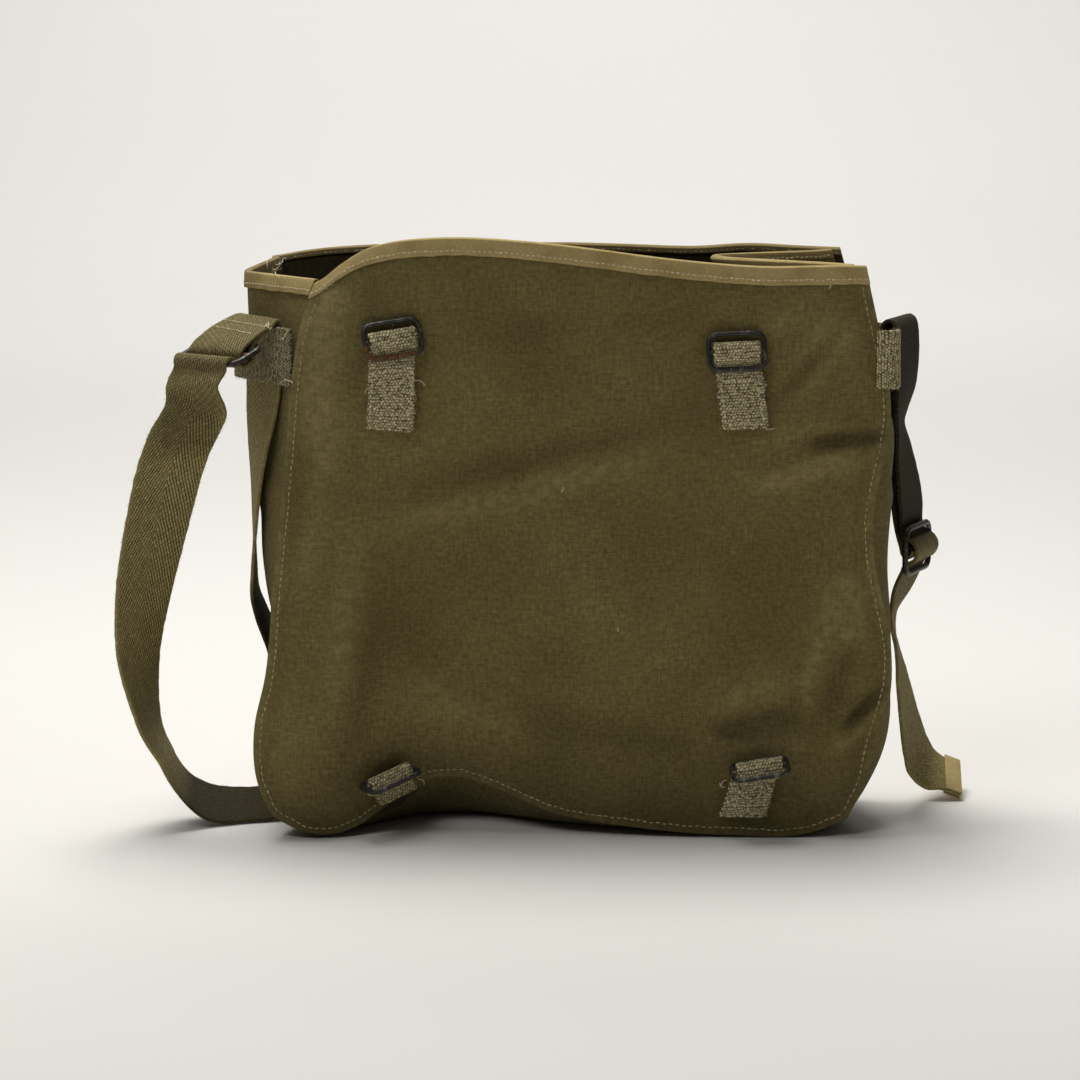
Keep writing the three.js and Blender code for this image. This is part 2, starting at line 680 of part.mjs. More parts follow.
// A wire frame with round corners and a middle bar
function wireFrame(frame, halfWidth, halfHeight, corner, wire, cornerSteps, sides) {
  const loop = [];
  const bent = [
    { u: halfWidth - corner, v: halfHeight - corner, from: 0 },
    { u: corner - halfWidth, v: halfHeight - corner, from: 90 },
    { u: corner - halfWidth, v: corner - halfHeight, from: 180 },
    { u: halfWidth - corner, v: corner - halfHeight, from: 270 },
  ];
  for (const c of bent) {
    for (let i = 0; i <= cornerSteps; i++) {
      const a = rad(c.from + (90 * i) / cornerSteps);
      loop.push({ u: c.u + corner * Math.cos(a), v: c.v + corner * Math.sin(a), a });
    }
  }
  const outline = [];
  for (let k = 0; k < sides; k++) {
    const a = (2 * Math.PI * (k + 0.5)) / sides;
    outline.push(new THREE.Vector2(wire * Math.cos(a), wire * Math.sin(a)));
  }
  const place = (u, v, n) =>
    frame.middle
      .clone()
      .addScaledVector(frame.bars, u)
      .addScaledVector(frame.away, v)
      .addScaledVector(frame.above, n);
  const rings = loop.map(({ u, v, a }) =>
    outline.map((o) => place(u + o.x * Math.cos(a), v + o.x * Math.sin(a), o.y)),
  );
  const ring = loftRings(rings, outline, true);
  const bar = [-halfWidth, halfWidth].map((u) => outline.map((o) => place(u, o.x, o.y)));
  return joined([ring, loftRings(bar, outline, false)]);
}

// Several closed geometries joined into one solid
function joined(geometries) {
  const solids = geometries.map((g) => {
    const mesh = new wasm.Mesh({
      numProp: 3,
      vertProperties: new Float32Array(g.getAttribute("position").array),
      triVerts: new Uint32Array(g.index.array),
    });
    return new wasm.Manifold(mesh);
  });
  const solid = solids.reduce((a, b) => a.add(b));
  const mesh = solid.getMesh();
  const geometry = new THREE.BufferGeometry();
  geometry.setAttribute("position", new THREE.BufferAttribute(new Float32Array(mesh.vertProperties), 3));
  geometry.setIndex(new THREE.BufferAttribute(new Uint32Array(mesh.triVerts), 1));
  geometry.computeVertexNormals();
  return geometry;
}

const group = new THREE.Group();
group.name = "canvas_pack";
const COLOURS = { canvas: 0x55512f, tape: 0x8a8061, webbing: 0x6b664b, strap: 0x4c4a30, steel: 0x2a2b2c };
function add(name, geometry, colour) {
  const metal = colour === "steel" ? 0.8 : 0;
  const look = { color: COLOURS[colour], roughness: 0.8, metalness: metal };
  const material = new THREE.MeshStandardMaterial(look);
  const mesh = new THREE.Mesh(geometry, material);
  mesh.name = name;
  group.add(mesh);
}

// Panels
const back = panelSurface(BACK_LEFT, BACK_RIGHT, BACK_BOTTOM, BACK_TOP, BACK_FOLDS, -1);
const front = panelSurface(FRONT_LEFT, FRONT_RIGHT, FRONT_BOTTOM, FRONT_TOP, FRONT_FOLDS, 1);
const backS = gridLines(BACK_COLUMNS, LIP_S, LIP_S);
const backT = gridLines(BACK_ROWS, LIP_T, RIM_T);
const everyOther = (lines) =>
  lines.filter((v, i) => i < 2 || i > lines.length - 3 || i % 2 === 0);
const frontS = everyOther(backS);
const frontT = everyOther(backT);
const panelGrid = (surface, ss, ts) => ts.map((t) => ss.map((s) => surface(s, t)));
const backGrid = panelGrid(back, backS, backT);
const frontGrid = panelGrid(front, frontS, frontT);
// The panel as its flat facets run, between the grid lines
function facets(grid, ss, ts) {
  const cell = (lines, v) => {
    let i = 0;
    while (i < lines.length - 2 && v > lines[i + 1]) i++;
    return { i, k: (v - lines[i]) / (lines[i + 1] - lines[i]) };
  };
  return (s, t) => {
    const a = cell(ss, s);
    const b = cell(ts, t);
    const low = grid[b.i][a.i].clone().lerp(grid[b.i][a.i + 1], a.k);
    const high = grid[b.i + 1][a.i].clone().lerp(grid[b.i + 1][a.i + 1], a.k);
    return low.lerp(high, b.k);
  };
}
const backFacets = facets(backGrid, backS, backT);
const frontFacets = facets(frontGrid, frontS, frontT);
add("back_panel", clothWall(backGrid, CANVAS), "canvas");
add("front_panel", clothWall(frontGrid, CANVAS), "canvas");

// Gusset: stations run down the left seam, along the bottom and up the right seam
const stations = [];
for (const t of backT.slice(1).reverse()) stations.push({ s: LIP_S, t, folds: GUSSET_LEFT });
for (const s of backS.slice(2, -2)) stations.push({ s, t: LIP_T, folds: null });
for (const t of backT.slice(1)) stations.push({ s: 1 - LIP_S, t, folds: GUSSET_RIGHT });
const seamBack = CANVAS / 2 + GAP;
for (const st of stations) {
  const nearRim = smooth((st.t - 0.93) / 0.05);
  const clear = mix(seamBack, seamBack + TAPE + 0.4, nearRim);
  st.backNormal = normalOf(back, st.s, st.t, 1);
  st.frontNormal = normalOf(front, st.s, st.t, -1);
  st.near = backFacets(st.s, st.t).addScaledVector(st.backNormal, clear);
  st.far = frontFacets(st.s, st.t).addScaledVector(st.frontNormal, clear);
}
stations.forEach((st, i) => {
  const before = stations[Math.max(0, i - 1)];
  const after = stations[Math.min(stations.length - 1, i + 1)];
  const ahead = after.near.clone().add(after.far).sub(before.near).sub(before.far);
  ahead.y = 0;
  ahead.normalize();
  st.outward = vec(ahead.z, 0, -ahead.x);
  st.floor = clamp01(-st.outward.z * 1.6 - 0.5);
});
function foldShape(q, peak, crease) {
  const k = q < peak ? (0.5 * q) / peak : 0.5 + (0.5 * (q - peak)) / (1 - peak);
  const round = Math.sin(Math.PI * k) ** 2;
  const sharp = 1.08 - Math.sqrt((2 * k - 1) ** 2 + 0.0064) - 0.08 * Math.abs(2 * k - 1);
  return mix(round, sharp, crease);
}
function gussetPoint(st, q) {
  const point = st.near.clone().lerp(st.far, q);
  if (st.folds) {
    const value = (column) => between(st.folds, st.near.z, column);
    const fold = foldShape(q, value("peak"), value("crease"));
    point.addScaledVector(st.outward, value("out") * fold);
    point.z += value("lift") * fold;
  }
  const reach = 0.16 + 0.012 * Math.max(0, st.near.z - 8);
  const nearHang = clamp01(1 - q / reach) ** 1.6;
  const farHang = clamp01(1 - (1 - q) / 0.16) ** 1.6;
  const level = CANVAS / 2;
  const laid = level + (st.near.z - level) * nearHang + (st.far.z - level) * farHang;
  point.z = Math.max(level, mix(point.z, laid, st.floor));
  return point;
}
const gussetGrid = stations.map((st) => GUSSET_ACROSS.map((q) => gussetPoint(st, q)));
const intoSeam = (i, j, normal) => {
  const wall = j === 0 ? stations[i].backNormal : stations[i].frontNormal;
  if (j > 0 && j < GUSSET_ACROSS.length - 1) return normal;
  return normal.addScaledVector(wall, -normal.dot(wall)).normalize();
};
add("gusset", clothWall(gussetGrid, CANVAS, intoSeam), "canvas");

// Rim tapes, one for each cloth edge, from its top row of points and the row below
function rimTape(edgeRow, belowRow) {
  const last = edgeRow.length - 1;
  return tapeChannel(
    edgeRow.map((edge, j) => {
      const along = edgeRow[Math.min(last, j + 1)].clone().sub(edgeRow[Math.max(0, j - 1)]);
      const down = belowRow[j].clone().sub(edge).multiplyScalar(1 / (TAPE_DEPTH + 1.5));
      return { edge, down, normal: along.cross(down).normalize() };
    }),
  );
}
add("rim_tape_back", rimTape(backGrid[backT.length - 1], backGrid[backT.length - 2]), "tape");
add("rim_tape_front", rimTape(frontGrid[frontT.length - 1], frontGrid[frontT.length - 2]), "tape");
const inside = (row) => row.slice(1, -1);
add("rim_tape_left", rimTape(inside(gussetGrid[0]), inside(gussetGrid[1])), "tape");
const endRow = gussetGrid.length - 1;
add("rim_tape_right", rimTape(inside(gussetGrid[endRow]), inside(gussetGrid[endRow - 1])), "tape");

// Tabs and buckles on the back panel
function findOnPanel(x, z) {
  let s = clamp01((x + PANEL_WIDE / 2) / PANEL_WIDE);
  let t = clamp01(z / PANEL_TALL);
  for (let i = 0; i < 24; i++) {
    const p = back(s, t);
    s = clamp01(s + (0.7 * (x - p.x)) / PANEL_WIDE);
    t = clamp01(t + (0.7 * (z - p.z)) / PANEL_TALL);
  }
  return { s, t };
}
const TAB_PROFILE = (tall, bar) => {
  const low = GAP + TAB_CLOTH / 2;
  const upper = low + TAB_CLOTH + 2 * GAP;
  const round = BUCKLE_WIRE + WRAP_SLACK + TAB_CLOTH / 2;
  const rows = [
    { up: 0, out: low },
    { up: (tall - 7) * 0.4, out: low },
    { up: (tall - 7) * 0.75, out: low },
    { up: tall - 7, out: low },
    { up: tall - 2.5, out: Math.max(low, bar - round) },
  ];
  const above = round - WRAP_SLACK + WRAP_LOOSE;
  for (const a of [-70, -35, 0, 35, 70]) {
    rows.push({ up: tall + above * Math.cos(rad(a)), out: bar + round * Math.sin(rad(a)) });
  }
  rows.push({ up: tall - 2.5, out: bar + round - 0.3 });
  rows.push({ up: tall - 6, out: mix(upper, bar + round, 0.35) });
  for (const share of [1, 0.7, 0.35, 0]) rows.push({ up: (tall - 9.5) * share, out: upper });
  return rows;
};
for (const tab of TABS) {
  const reach = { x: tab.head.x - tab.foot.x, z: tab.head.z - tab.foot.z };
  const tall = Math.hypot(reach.x, reach.z);
  const onPanel = (up, across) => {
    const k = up / tall;
    const rise = rad(mix(tab.foot.rise, tab.head.rise, k));
    const x = tab.foot.x + reach.x * k + across * Math.cos(rise);
    const z = tab.foot.z + reach.z * k + across * Math.sin(rise);
    const at = findOnPanel(x, z);
    return backFacets(at.s, at.t);
  };
  // The panel under one line across the tab: its middle, its side direction and its highest swell
  const ground = (up) => {
    const half = TAB_WIDTH / 2;
    const ends = [onPanel(up, -half), onPanel(up, half)];
    const side = ends[1].clone().sub(ends[0]).normalize();
    const rise = onPanel(up + 3, 0).sub(onPanel(up - 3, 0)).normalize();
    const normal = side.clone().cross(rise).normalize();
    if (normal.y > 0) normal.negate();
    const point = ends[0].clone().lerp(ends[1], 0.5);
    let swell = 0;
    for (const k of [-0.8, -0.6, -0.4, -0.2, 0, 0.2, 0.4, 0.6, 0.8]) {
      swell = Math.max(swell, onPanel(up, k * half).sub(point).dot(normal));
    }
    return { point: point.addScaledVector(normal, swell + CANVAS / 2 + tab.slack), normal, side };
  };
  const head = ground(tall);
  const bars = head.side;
  const headRise = head.normal.clone().cross(bars).normalize();
  if (headRise.z < 0) headRise.negate();
  const path = TAB_PROFILE(tall, tab.bar).map((row) => {
    const straight = row.up > tall - 6.5;
    const g = straight ? head : ground(row.up);
    const point = g.point.clone().addScaledVector(g.normal, row.out);
    if (straight) point.addScaledVector(headRise, row.up - tall);
    return { point, side: straight ? bars : g.side };
  });
  add("tab_" + tab.name, ribbon(ribbonPath(path, 8, 18), TAB_WIDTH, TAB_CLOTH, true), "webbing");
  const middle = head.point.clone().addScaledVector(head.normal, tab.bar);
  const above = head.normal.clone();
  above.applyAxisAngle(bars, -rad(tab.pitch));
  const away = above.clone().cross(bars).normalize();
  const frame = { middle, bars, away, above };
  const wire = wireFrame(frame, BUCKLE_HALF_WIDTH, BUCKLE_HALF_HEIGHT, BUCKLE_CORNER, BUCKLE_WIRE, 4, 6);
  add("buckle_" + tab.name, wire, "steel");
}

// Keepers
function keeper(rows, z) {
  const path = rows.map((r) => ({ point: vec(r.x, r.y, z + (r.lift ?? 0)), side: vec(0, 0, 1) }));
  return ribbon(ribbonPath(path, 14, 14), KEEPER_HEIGHT, KEEPER_CLOTH);
}
add("keeper_left", keeper(KEEPER_LEFT, KEEPER_LEFT_Z), "webbing");
add("keeper_right", keeper(KEEPER_RIGHT, KEEPER_RIGHT_Z), "webbing");

// Straps and slides
const leftSlide = slideFrame(SLIDE_LEFT);
const rightSlide = slideFrame(SLIDE_RIGHT);
if (leftSlide.above.z < 0) leftSlide.above.negate();
if (rightSlide.above.x < 0) rightSlide.above.negate();
const slideWire = (frame) =>
  wireFrame(frame, SLIDE_HALF_WIDTH, SLIDE_HALF_HEIGHT, SLIDE_CORNER, SLIDE_WIRE, 5, 8);
add("slide_left", slideWire(leftSlide), "steel");
add("slide_right", slideWire(rightSlide), "steel");
// The left strap has half a twist between its two ends
const halfTwist = (row) => ({ point: row.point, side: row.side.clone().negate() });
const leftRows = [
  ...LEFT_SEWN.map(slideRow(leftSlide)),
  ...LEFT_WAY.map(wayRow),
  ...LEFT_TUCKED.map(slideRow(leftSlide)).map(halfTwist),
];
add("strap_left", ribbon(ribbonPath(leftRows, 22, 13), STRAP_WIDTH, STRAP_CLOTH, true), "strap");
const rightRows = [
  ...RIGHT_SEWN.map(slideRow(rightSlide)),
  ...RIGHT_UP.map(wayRow),
  ...RIGHT_THREADED.map(slideRow(rightSlide)),
  ...RIGHT_TAIL.map(wayRow),
];
const rightPath = ribbonPath(rightRows, 22, 13);
add("strap_right", ribbon(rightPath, STRAP_WIDTH, STRAP_CLOTH), "strap");

// Tape bound over the right strap's end
const tipEnd = rightPath[rightPath.length - 1];
const tipAhead = tipEnd.point.clone().sub(rightPath[rightPath.length - 2].point).normalize();
const tipSide = tipEnd.side.clone().addScaledVector(tipAhead, -tipEnd.side.dot(tipAhead)).normalize();
const tipUp = tipSide.clone().cross(tipAhead).normalize();
const tipIn = STRAP_CLOTH / 2 + 0.5;
const tipOut = tipIn + 0.8;
const tipOutline = [
  [-TIP_LENGTH, tipOut],
  [-TIP_LENGTH, tipIn],
  [0.4, tipIn],
  [0.4, -tipIn],
  [-TIP_LENGTH, -tipIn],
  [-TIP_LENGTH, -tipOut],
  [1.2, -tipOut],
  [1.2, tipOut],
].map(([a, b]) => new THREE.Vector2(a, b));
const tipRings = [-0.5, 0.5].map((k) =>
  tipOutline.map((o) =>
    tipEnd.point
      .clone()
      .addScaledVector(tipSide, k * STRAP_WIDTH)
      .addScaledVector(tipAhead, o.x)
      .addScaledVector(tipUp, o.y),
  ),
);
add("strap_tip", loftRings(tipRings, tipOutline, false), "tape");

export default group;
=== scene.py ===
# %% [markdown]
# # An old canvas pack, dressed over its measured solids
# The measured solids come in first as a fixed frame, and every cloth, webbing and wire piece
# below is made to lie exactly where its solid lies. All sizes are in metres, with +Z up and
# the strap side of the pack facing -Y. Cloth may stand only a little proud of it.

import math
import random
from collections import namedtuple
from itertools import permutations

import bmesh
import bpy
import numpy as np
from mathutils import Matrix, Vector, kdtree, noise
from mathutils.bvhtree import BVHTree


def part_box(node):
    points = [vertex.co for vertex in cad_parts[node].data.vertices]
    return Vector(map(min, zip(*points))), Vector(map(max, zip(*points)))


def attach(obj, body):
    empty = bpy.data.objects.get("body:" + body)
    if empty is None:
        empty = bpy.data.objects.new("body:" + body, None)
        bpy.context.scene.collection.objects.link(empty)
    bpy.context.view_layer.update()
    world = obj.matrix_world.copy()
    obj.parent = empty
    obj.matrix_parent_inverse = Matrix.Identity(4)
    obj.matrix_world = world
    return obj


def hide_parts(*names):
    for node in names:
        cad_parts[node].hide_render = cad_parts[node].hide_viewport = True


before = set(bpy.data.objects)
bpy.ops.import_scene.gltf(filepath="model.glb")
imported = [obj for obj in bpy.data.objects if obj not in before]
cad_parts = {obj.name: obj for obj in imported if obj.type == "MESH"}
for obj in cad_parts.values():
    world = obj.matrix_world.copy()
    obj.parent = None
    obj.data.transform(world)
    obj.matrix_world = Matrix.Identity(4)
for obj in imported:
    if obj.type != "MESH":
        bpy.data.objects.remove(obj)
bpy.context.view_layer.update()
MM = 0.001

# %% [markdown]
# ## Camera
# The photograph was taken with a long lens, a little above the pack. The target, distance and
# focal length were solved from the pack's own outline, so a point of the picture can be turned
# into a ray. That ray is used later to set stitches and loose threads on the cloth they lie on.

# %% Camera and picture rays
CAMERA_TARGET = Vector((-0.0209, 0.0, 0.1616))
CAMERA_DISTANCE = 2.6
CAMERA_RISE = math.radians(8.5)
PICTURE_SIDE = 1080
FOCAL_PIXELS = 4545
SENSOR_WIDTH = 36.0


def start_clean():
    """Leaves edit mode and deselects everything, so the next operator meets only its own piece."""
    if bpy.context.object and bpy.context.object.mode != "OBJECT":
        bpy.ops.object.mode_set(mode="OBJECT")
    bpy.ops.object.select_all(action="DESELECT")


def make_active(obj):
    start_clean()
    obj.select_set(True)
    bpy.context.view_layer.objects.active = obj


start_clean()
camera_back = Vector((0, -math.cos(CAMERA_RISE), math.sin(CAMERA_RISE)))
camera_place = CAMERA_TARGET + CAMERA_DISTANCE * camera_back
bpy.ops.object.camera_add(location=camera_place, rotation=(math.pi / 2 - CAMERA_RISE, 0, 0))
camera = bpy.context.object
camera.data.sensor_width = SENSOR_WIDTH
camera.data.lens = SENSOR_WIDTH * FOCAL_PIXELS / PICTURE_SIDE
bpy.context.scene.camera = camera


def picture_ray(px, py):
    """The direction from the camera through a point of the 1080 x 1080 picture."""
    right = Vector((1, 0, 0))
    up = Vector((0, math.sin(CAMERA_RISE), math.cos(CAMERA_RISE)))
    across = (px - PICTURE_SIDE / 2) / FOCAL_PIXELS
    rise = (PICTURE_SIDE / 2 - py) / FOCAL_PIXELS
    return (right * across + up * rise - camera_back).normalized()


print("camera lens", round(camera.data.lens, 1), "mm at", [round(v, 3) for v in camera_place])

# %% [markdown]
# ## Finishes made of nodes
# Every finish below is a recipe of noise, waves and painted values, mixed into a colour and a fine
# relief. It could be wired by hand in the shader editor, but a small class with one short call for
# each kind of node keeps the recipes readable. A grain is noise of one scale and detail, spread so
# that its low value becomes 0 and its high value 1.

# %% Node helpers
SPECULAR = 0.25
Grain = namedtuple("Grain", "scale detail low high")


def linear(red, green, blue):
    """A screen colour from 0 to 255 as the linear colour that a shader takes."""
    parts = [c / 255 for c in (red, green, blue)]
    return (*[p / 12.92 if p <= 0.04045 else ((p + 0.055) / 1.055) ** 2.4 for p in parts], 1)


class Finish:
    """A material in the making, with one short call for each kind of node."""

    def __init__(self, name, roughness, sheen=0.0):
        self.material = bpy.data.materials.new(name)
        self.material.use_nodes = True
        self.tree = self.material.node_tree
        self.shader = self.tree.nodes["Principled BSDF"].inputs
        self.shader["Roughness"].default_value = roughness
        self.shader["Sheen Weight"].default_value = sheen
        self.shader["Specular IOR Level"].default_value = SPECULAR

    def feed(self, socket, given):
        """Links a socket to another one, or sets its value."""
        if isinstance(given, bpy.types.NodeSocket):
            self.tree.links.new(given, socket)
        else:
            socket.default_value = given

    def node(self, kind, *given, **settings):
        """A new node with its settings, and with its first inputs fed in order."""
        node = self.tree.nodes.new("ShaderNode" + kind)
        for key, value in settings.items():
            setattr(node, key, value)
        for socket, one in zip(node.inputs, given):
            self.feed(socket, one)
        return node

    def maths(self, operation, *given):
        return self.node("Math", *given, operation=operation).outputs[0]

    def times(self, first, second):
        return self.maths("MULTIPLY", first, second)

    def scaled(self, value, factor, offset):
        return self.maths("MULTIPLY_ADD", value, factor, offset)

    def stretched(self, vector, scale):
        return self.node("VectorMath", vector, scale, operation="MULTIPLY").outputs[0]

    def cloud(self, vector, scale, detail=2.0):
        node = self.node("TexNoise", vector)
        node.inputs["Scale"].default_value = scale
        node.inputs["Detail"].default_value = detail
        return node.outputs[0]

    def level(self, value, low, high):
        """0 below low, 1 above high, and a straight ramp between them."""
        return self.node("MapRange", value, low, high, clamp=True).outputs[0]

    def grain(self, vector, row):
        return self.level(self.cloud(vector, row.scale, row.detail), row.low, row.high)

    def mixed(self, share, first, second, way="MIX"):
        node = self.node("Mix", share, data_type="RGBA", blend_type=way)
        self.feed(node.inputs[6], first)
        self.feed(node.inputs[7], second)
        return node.outputs[2]

    def painted(self, name):
        """A value that is painted on the points of the mesh."""
        return self.node("Attribute", attribute_name=name).outputs["Fac"]

    def flat(self):
        """The cloth's own flat coordinates, in metres."""
        return self.node("UVMap", uv_map="cloth").outputs[0]

    def space(self):
        return self.node("TexCoord").outputs["Object"]

    def coloured(self, colour):
        self.feed(self.shader["Base Color"], colour)

    def relief(self, height, strength, distance):
        node = self.node("Bump")
        node.inputs["Strength"].default_value = strength
        node.inputs["Distance"].default_value = distance
        self.feed(node.inputs["Height"], height)
        self.feed(self.shader["Normal"], node.outputs[0])


print("middle grey in linear light", round(linear(128, 128, 128)[0], 3))

# %% [markdown]
# ## Stage and light
# A pale sheet runs under the pack and curves up behind it, as in a studio. It starts as a plane,
# whose far edge is extruded upwards and whose fold is bevelled into a wide curve. A large soft
# light above gives the pale rims, the dark inside and the shadow under the pack, a weaker one
# fills the near face, and a third lights the sheet behind. The dark inside is also painted shade
# on the inner side of the cloth.

# %% Studio sheet
SHEET_SIDE = 24.0
SHEET_BACK = 4.6
SHEET_RISE = 4.0
SHEET_CURVE = 1.6
CURVE_STEPS = 24
NEAR = 0.01
PAPER_MOTTLE = 1.3


def select_edges(obj, wanted):
    """Selects the edges whose two ends pass a test, and stays in edit mode."""
    bpy.ops.object.mode_set(mode="EDIT")
    bpy.ops.mesh.select_mode(type="EDGE")
    bpy.ops.mesh.select_all(action="DESELECT")
    bpy.ops.object.mode_set(mode="OBJECT")
    for edge in obj.data.edges:
        edge.select = all(wanted(obj.data.vertices[i].co) for i in edge.vertices)
    bpy.ops.object.mode_set(mode="EDIT")


start_clean()
bpy.ops.mesh.primitive_plane_add(size=SHEET_SIDE, location=(0, SHEET_BACK - SHEET_SIDE / 2, 0))
studio_sheet = bpy.context.object
studio_sheet.name = "studio_sheet"
bpy.ops.object.transform_apply(location=True)
select_edges(studio_sheet, lambda p: p.y > SHEET_BACK - NEAR)
bpy.ops.mesh.extrude_edges_move(TRANSFORM_OT_translate={"value": (0, 0, SHEET_RISE)})
select_edges(studio_sheet, lambda p: p.y > SHEET_BACK - NEAR and p.z < NEAR)
bpy.ops.mesh.bevel(offset=SHEET_CURVE, segments=CURVE_STEPS, affect="EDGES")
bpy.ops.object.mode_set(mode="OBJECT")
bpy.ops.object.shade_smooth()

paper = Finish("studio_paper", 0.9)
mottle = paper.cloud(paper.space(), PAPER_MOTTLE, 1.0)
paper.coloured(paper.mixed(mottle, linear(241, 239, 235), linear(236, 234, 230)))
studio_sheet.data.materials.append(paper.material)
print("studio sheet", len(studio_sheet.data.polygons), "faces")

# %% Lights
Lamp = namedtuple("Lamp", "name place aim side watts warmth")
LAMPS = (
    Lamp("top_softbox", (-0.2, 0.36, 1.9), (0, 0, 0.15), 1.1, 35.0, (1.0, 0.985, 0.955)),
    Lamp("near_softbox", (-0.9, -1.7, 2.1), (0, 0, 0.15), 1.0, 11.5, (1.0, 0.99, 0.97)),
    Lamp("sheet_softbox", (0.0, 3.1, 2.6), (0, 4.1, 0.3), 2.6, 63.0, (1.0, 0.997, 0.992)),
)
ROOM_LIGHT = 0.04
ROOM_TINT = (1.0, 0.992, 0.975, 1)

for lamp in LAMPS:
    start_clean()
    turn = (Vector(lamp.aim) - Vector(lamp.place)).to_track_quat("-Z", "Y").to_euler()
    bpy.ops.object.light_add(type="AREA", location=lamp.place, rotation=turn)
    light = bpy.context.object
    light.name = lamp.name
    light.data.size = lamp.side
    light.data.energy = lamp.watts
    light.data.color = lamp.warmth
world = bpy.data.worlds.new("studio_room")
world.use_nodes = True
background = world.node_tree.nodes["Background"].inputs
background["Color"].default_value = ROOM_TINT
background["Strength"].default_value = ROOM_LIGHT
bpy.context.scene.world = world
bpy.context.scene.view_settings.view_transform = "Standard"
print("lights", len(LAMPS), "and a room light of", ROOM_LIGHT)

# %% [markdown]
# ## Finish of the canvas
# The pack is olive cotton canvas: a plain weave of slightly uneven threads, faded a little in
# broad patches. The weave comes from two crossed sine waves on the cloth's own flat coordinates,
# and long thin noise in both thread directions gives the slubs. Wear and painted shade are painted
# on the mesh, because they belong to a place: pale wear on seams, fold ridges that are partly worn
# and partly a painted highlight, painted shade on the inner side of the cloth, near the floor and
# in creases, and a darker band along the seams.

# %% Canvas finish
CANVAS_THREAD = 1.15 * MM
SLUB_THIN = 1250
SLUB_LONG = 95
SLUB_LOW = 0.36
SLUB_HIGH = 0.66
SLUB_DARK = 0.62
FADED_PATCHES = Grain(11, 3.0, 0.36, 0.66)
FINE_GRAIN = Grain(420, 1.0, 0.3, 0.7)
SCUFFS = Grain(160, 3.0, 0.38, 0.68)
PAINTED_SHADE_SHARE = 0.8


def thread_waves(f, flat, pitch):
    """Crossed waves of the two thread directions of a plain weave, from 0 to 1."""
    parts = f.node("SeparateXYZ", flat).outputs
    waves = [f.maths("SINE", f.times(parts[i], 2 * math.pi / pitch)) for i in (0, 1)]
    return f.scaled(f.times(*waves), 0.5, 0.5)


def canvas_finish(name, deep, mid, faded, worn, painted_shade_tone):
    f = Finish(name, 0.94, 0.03)
    flat = f.flat()
    weave = thread_waves(f, flat, CANVAS_THREAD)
    slub_across = f.cloud(f.stretched(flat, (SLUB_LONG, SLUB_THIN, 1)), 1.0)
    slub_along = f.cloud(f.stretched(flat, (SLUB_THIN, SLUB_LONG, 1)), 1.0)
    slubs = f.scaled(slub_across, 0.5, f.times(slub_along, 0.5))
    thin = f.maths("SUBTRACT", 1.0, f.level(slubs, SLUB_LOW, SLUB_HIGH))
    body = f.mixed(f.grain(flat, FADED_PATCHES), mid, faded)
    body = f.mixed(f.times(thin, SLUB_DARK), body, deep)
    shade = f.scaled(weave, 1.2, f.scaled(f.grain(flat, FINE_GRAIN), 0.4, 0.2))
    tint = f.node("CombineColor", shade, shade, shade).outputs[0]
    body = f.mixed(1.0, body, tint, "MULTIPLY")
    # Pale wear on the sewn edges, and fold ridges partly worn and partly a painted highlight.
    wear_and_highlight = f.times(f.painted("wear"), f.scaled(f.grain(flat, SCUFFS), 0.7, 0.15))
    body = f.mixed(wear_and_highlight, body, worn)
    # Painted shade on the inner side, near the floor and in creases, and a darker band along the seams.
    body = f.mixed(f.times(f.painted("inner"), PAINTED_SHADE_SHARE), body, painted_shade_tone)
    f.coloured(body)
    f.relief(f.scaled(weave, 0.55, f.times(slubs, 1.1)), 0.55, 0.35 * MM)
    return f.material


olive_canvas = canvas_finish(
    name="olive_canvas",
    deep=linear(82, 73, 40),
    mid=linear(117, 105, 62),
    faded=linear(138, 124, 78),
    worn=linear(174, 157, 105),
    # The tone of the painted shade.
    painted_shade_tone=linear(32, 27, 15),
)
print("finish", olive_canvas.name, len(olive_canvas.node_tree.nodes), "nodes")

# %% [markdown]
# ## Canvas panels and gusset
# The solids already hold the sag and the large dents. Each is copied, its doubled corners are
# merged and its triangles turned back into quads, and a subdivision modifier is applied, so that
# the copy is a fine smooth cloth. Then the small folds go in: each fold is a row with its middle,
# its lie in degrees from level, its half length, its width and its height. Seams pucker too.
# Both faces of the cloth move together, so it keeps its thickness.

# %% Cloth helpers
MERGE = 0.02 * MM
QUAD_BEND = math.radians(70)
QUAD_SKEW = math.radians(60)


def apply_modifier(obj, kind, **settings):
    make_active(obj)
    modifier = obj.modifiers.new(kind.lower(), kind)
    for key, value in settings.items():
        setattr(modifier, key, value)
    bpy.ops.object.modifier_apply(modifier=modifier.name)


def linked(name, mesh):
    """A new piece of the scene for a mesh."""
    obj = bpy.data.objects.new(name, mesh)
    bpy.context.scene.collection.objects.link(obj)
    return obj


def smooth(obj):
    make_active(obj)
    bpy.ops.object.shade_smooth()


def copy_of_solid(node, name):
    """A merged copy of a solid, with its triangles joined into quads."""
    obj = linked(name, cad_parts[node].data.copy())
    obj.data.materials.clear()
    make_active(obj)
    bpy.ops.mesh.customdata_custom_splitnormals_clear()
    bpy.ops.object.mode_set(mode="EDIT")
    bpy.ops.mesh.select_all(action="SELECT")
    bpy.ops.mesh.remove_doubles(threshold=MERGE)
    bpy.ops.mesh.tris_convert_to_quads(face_threshold=QUAD_BEND, shape_threshold=QUAD_SKEW)
    bpy.ops.object.mode_set(mode="OBJECT")
    return obj


def finished(obj, finish, slot, *nodes):
    """Gives a piece its finish, lets it ride on the body and stand for its solids."""
    obj.data.materials.clear()
    obj.data.materials.append(finish)
    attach(obj, "root")
    if nodes:
        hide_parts(*nodes)
    print(obj.name, "faces", len(obj.data.polygons), "finish", finish.name)
    return obj


print("back panel solid", len(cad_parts["back_panel"].data.polygons), "triangles")

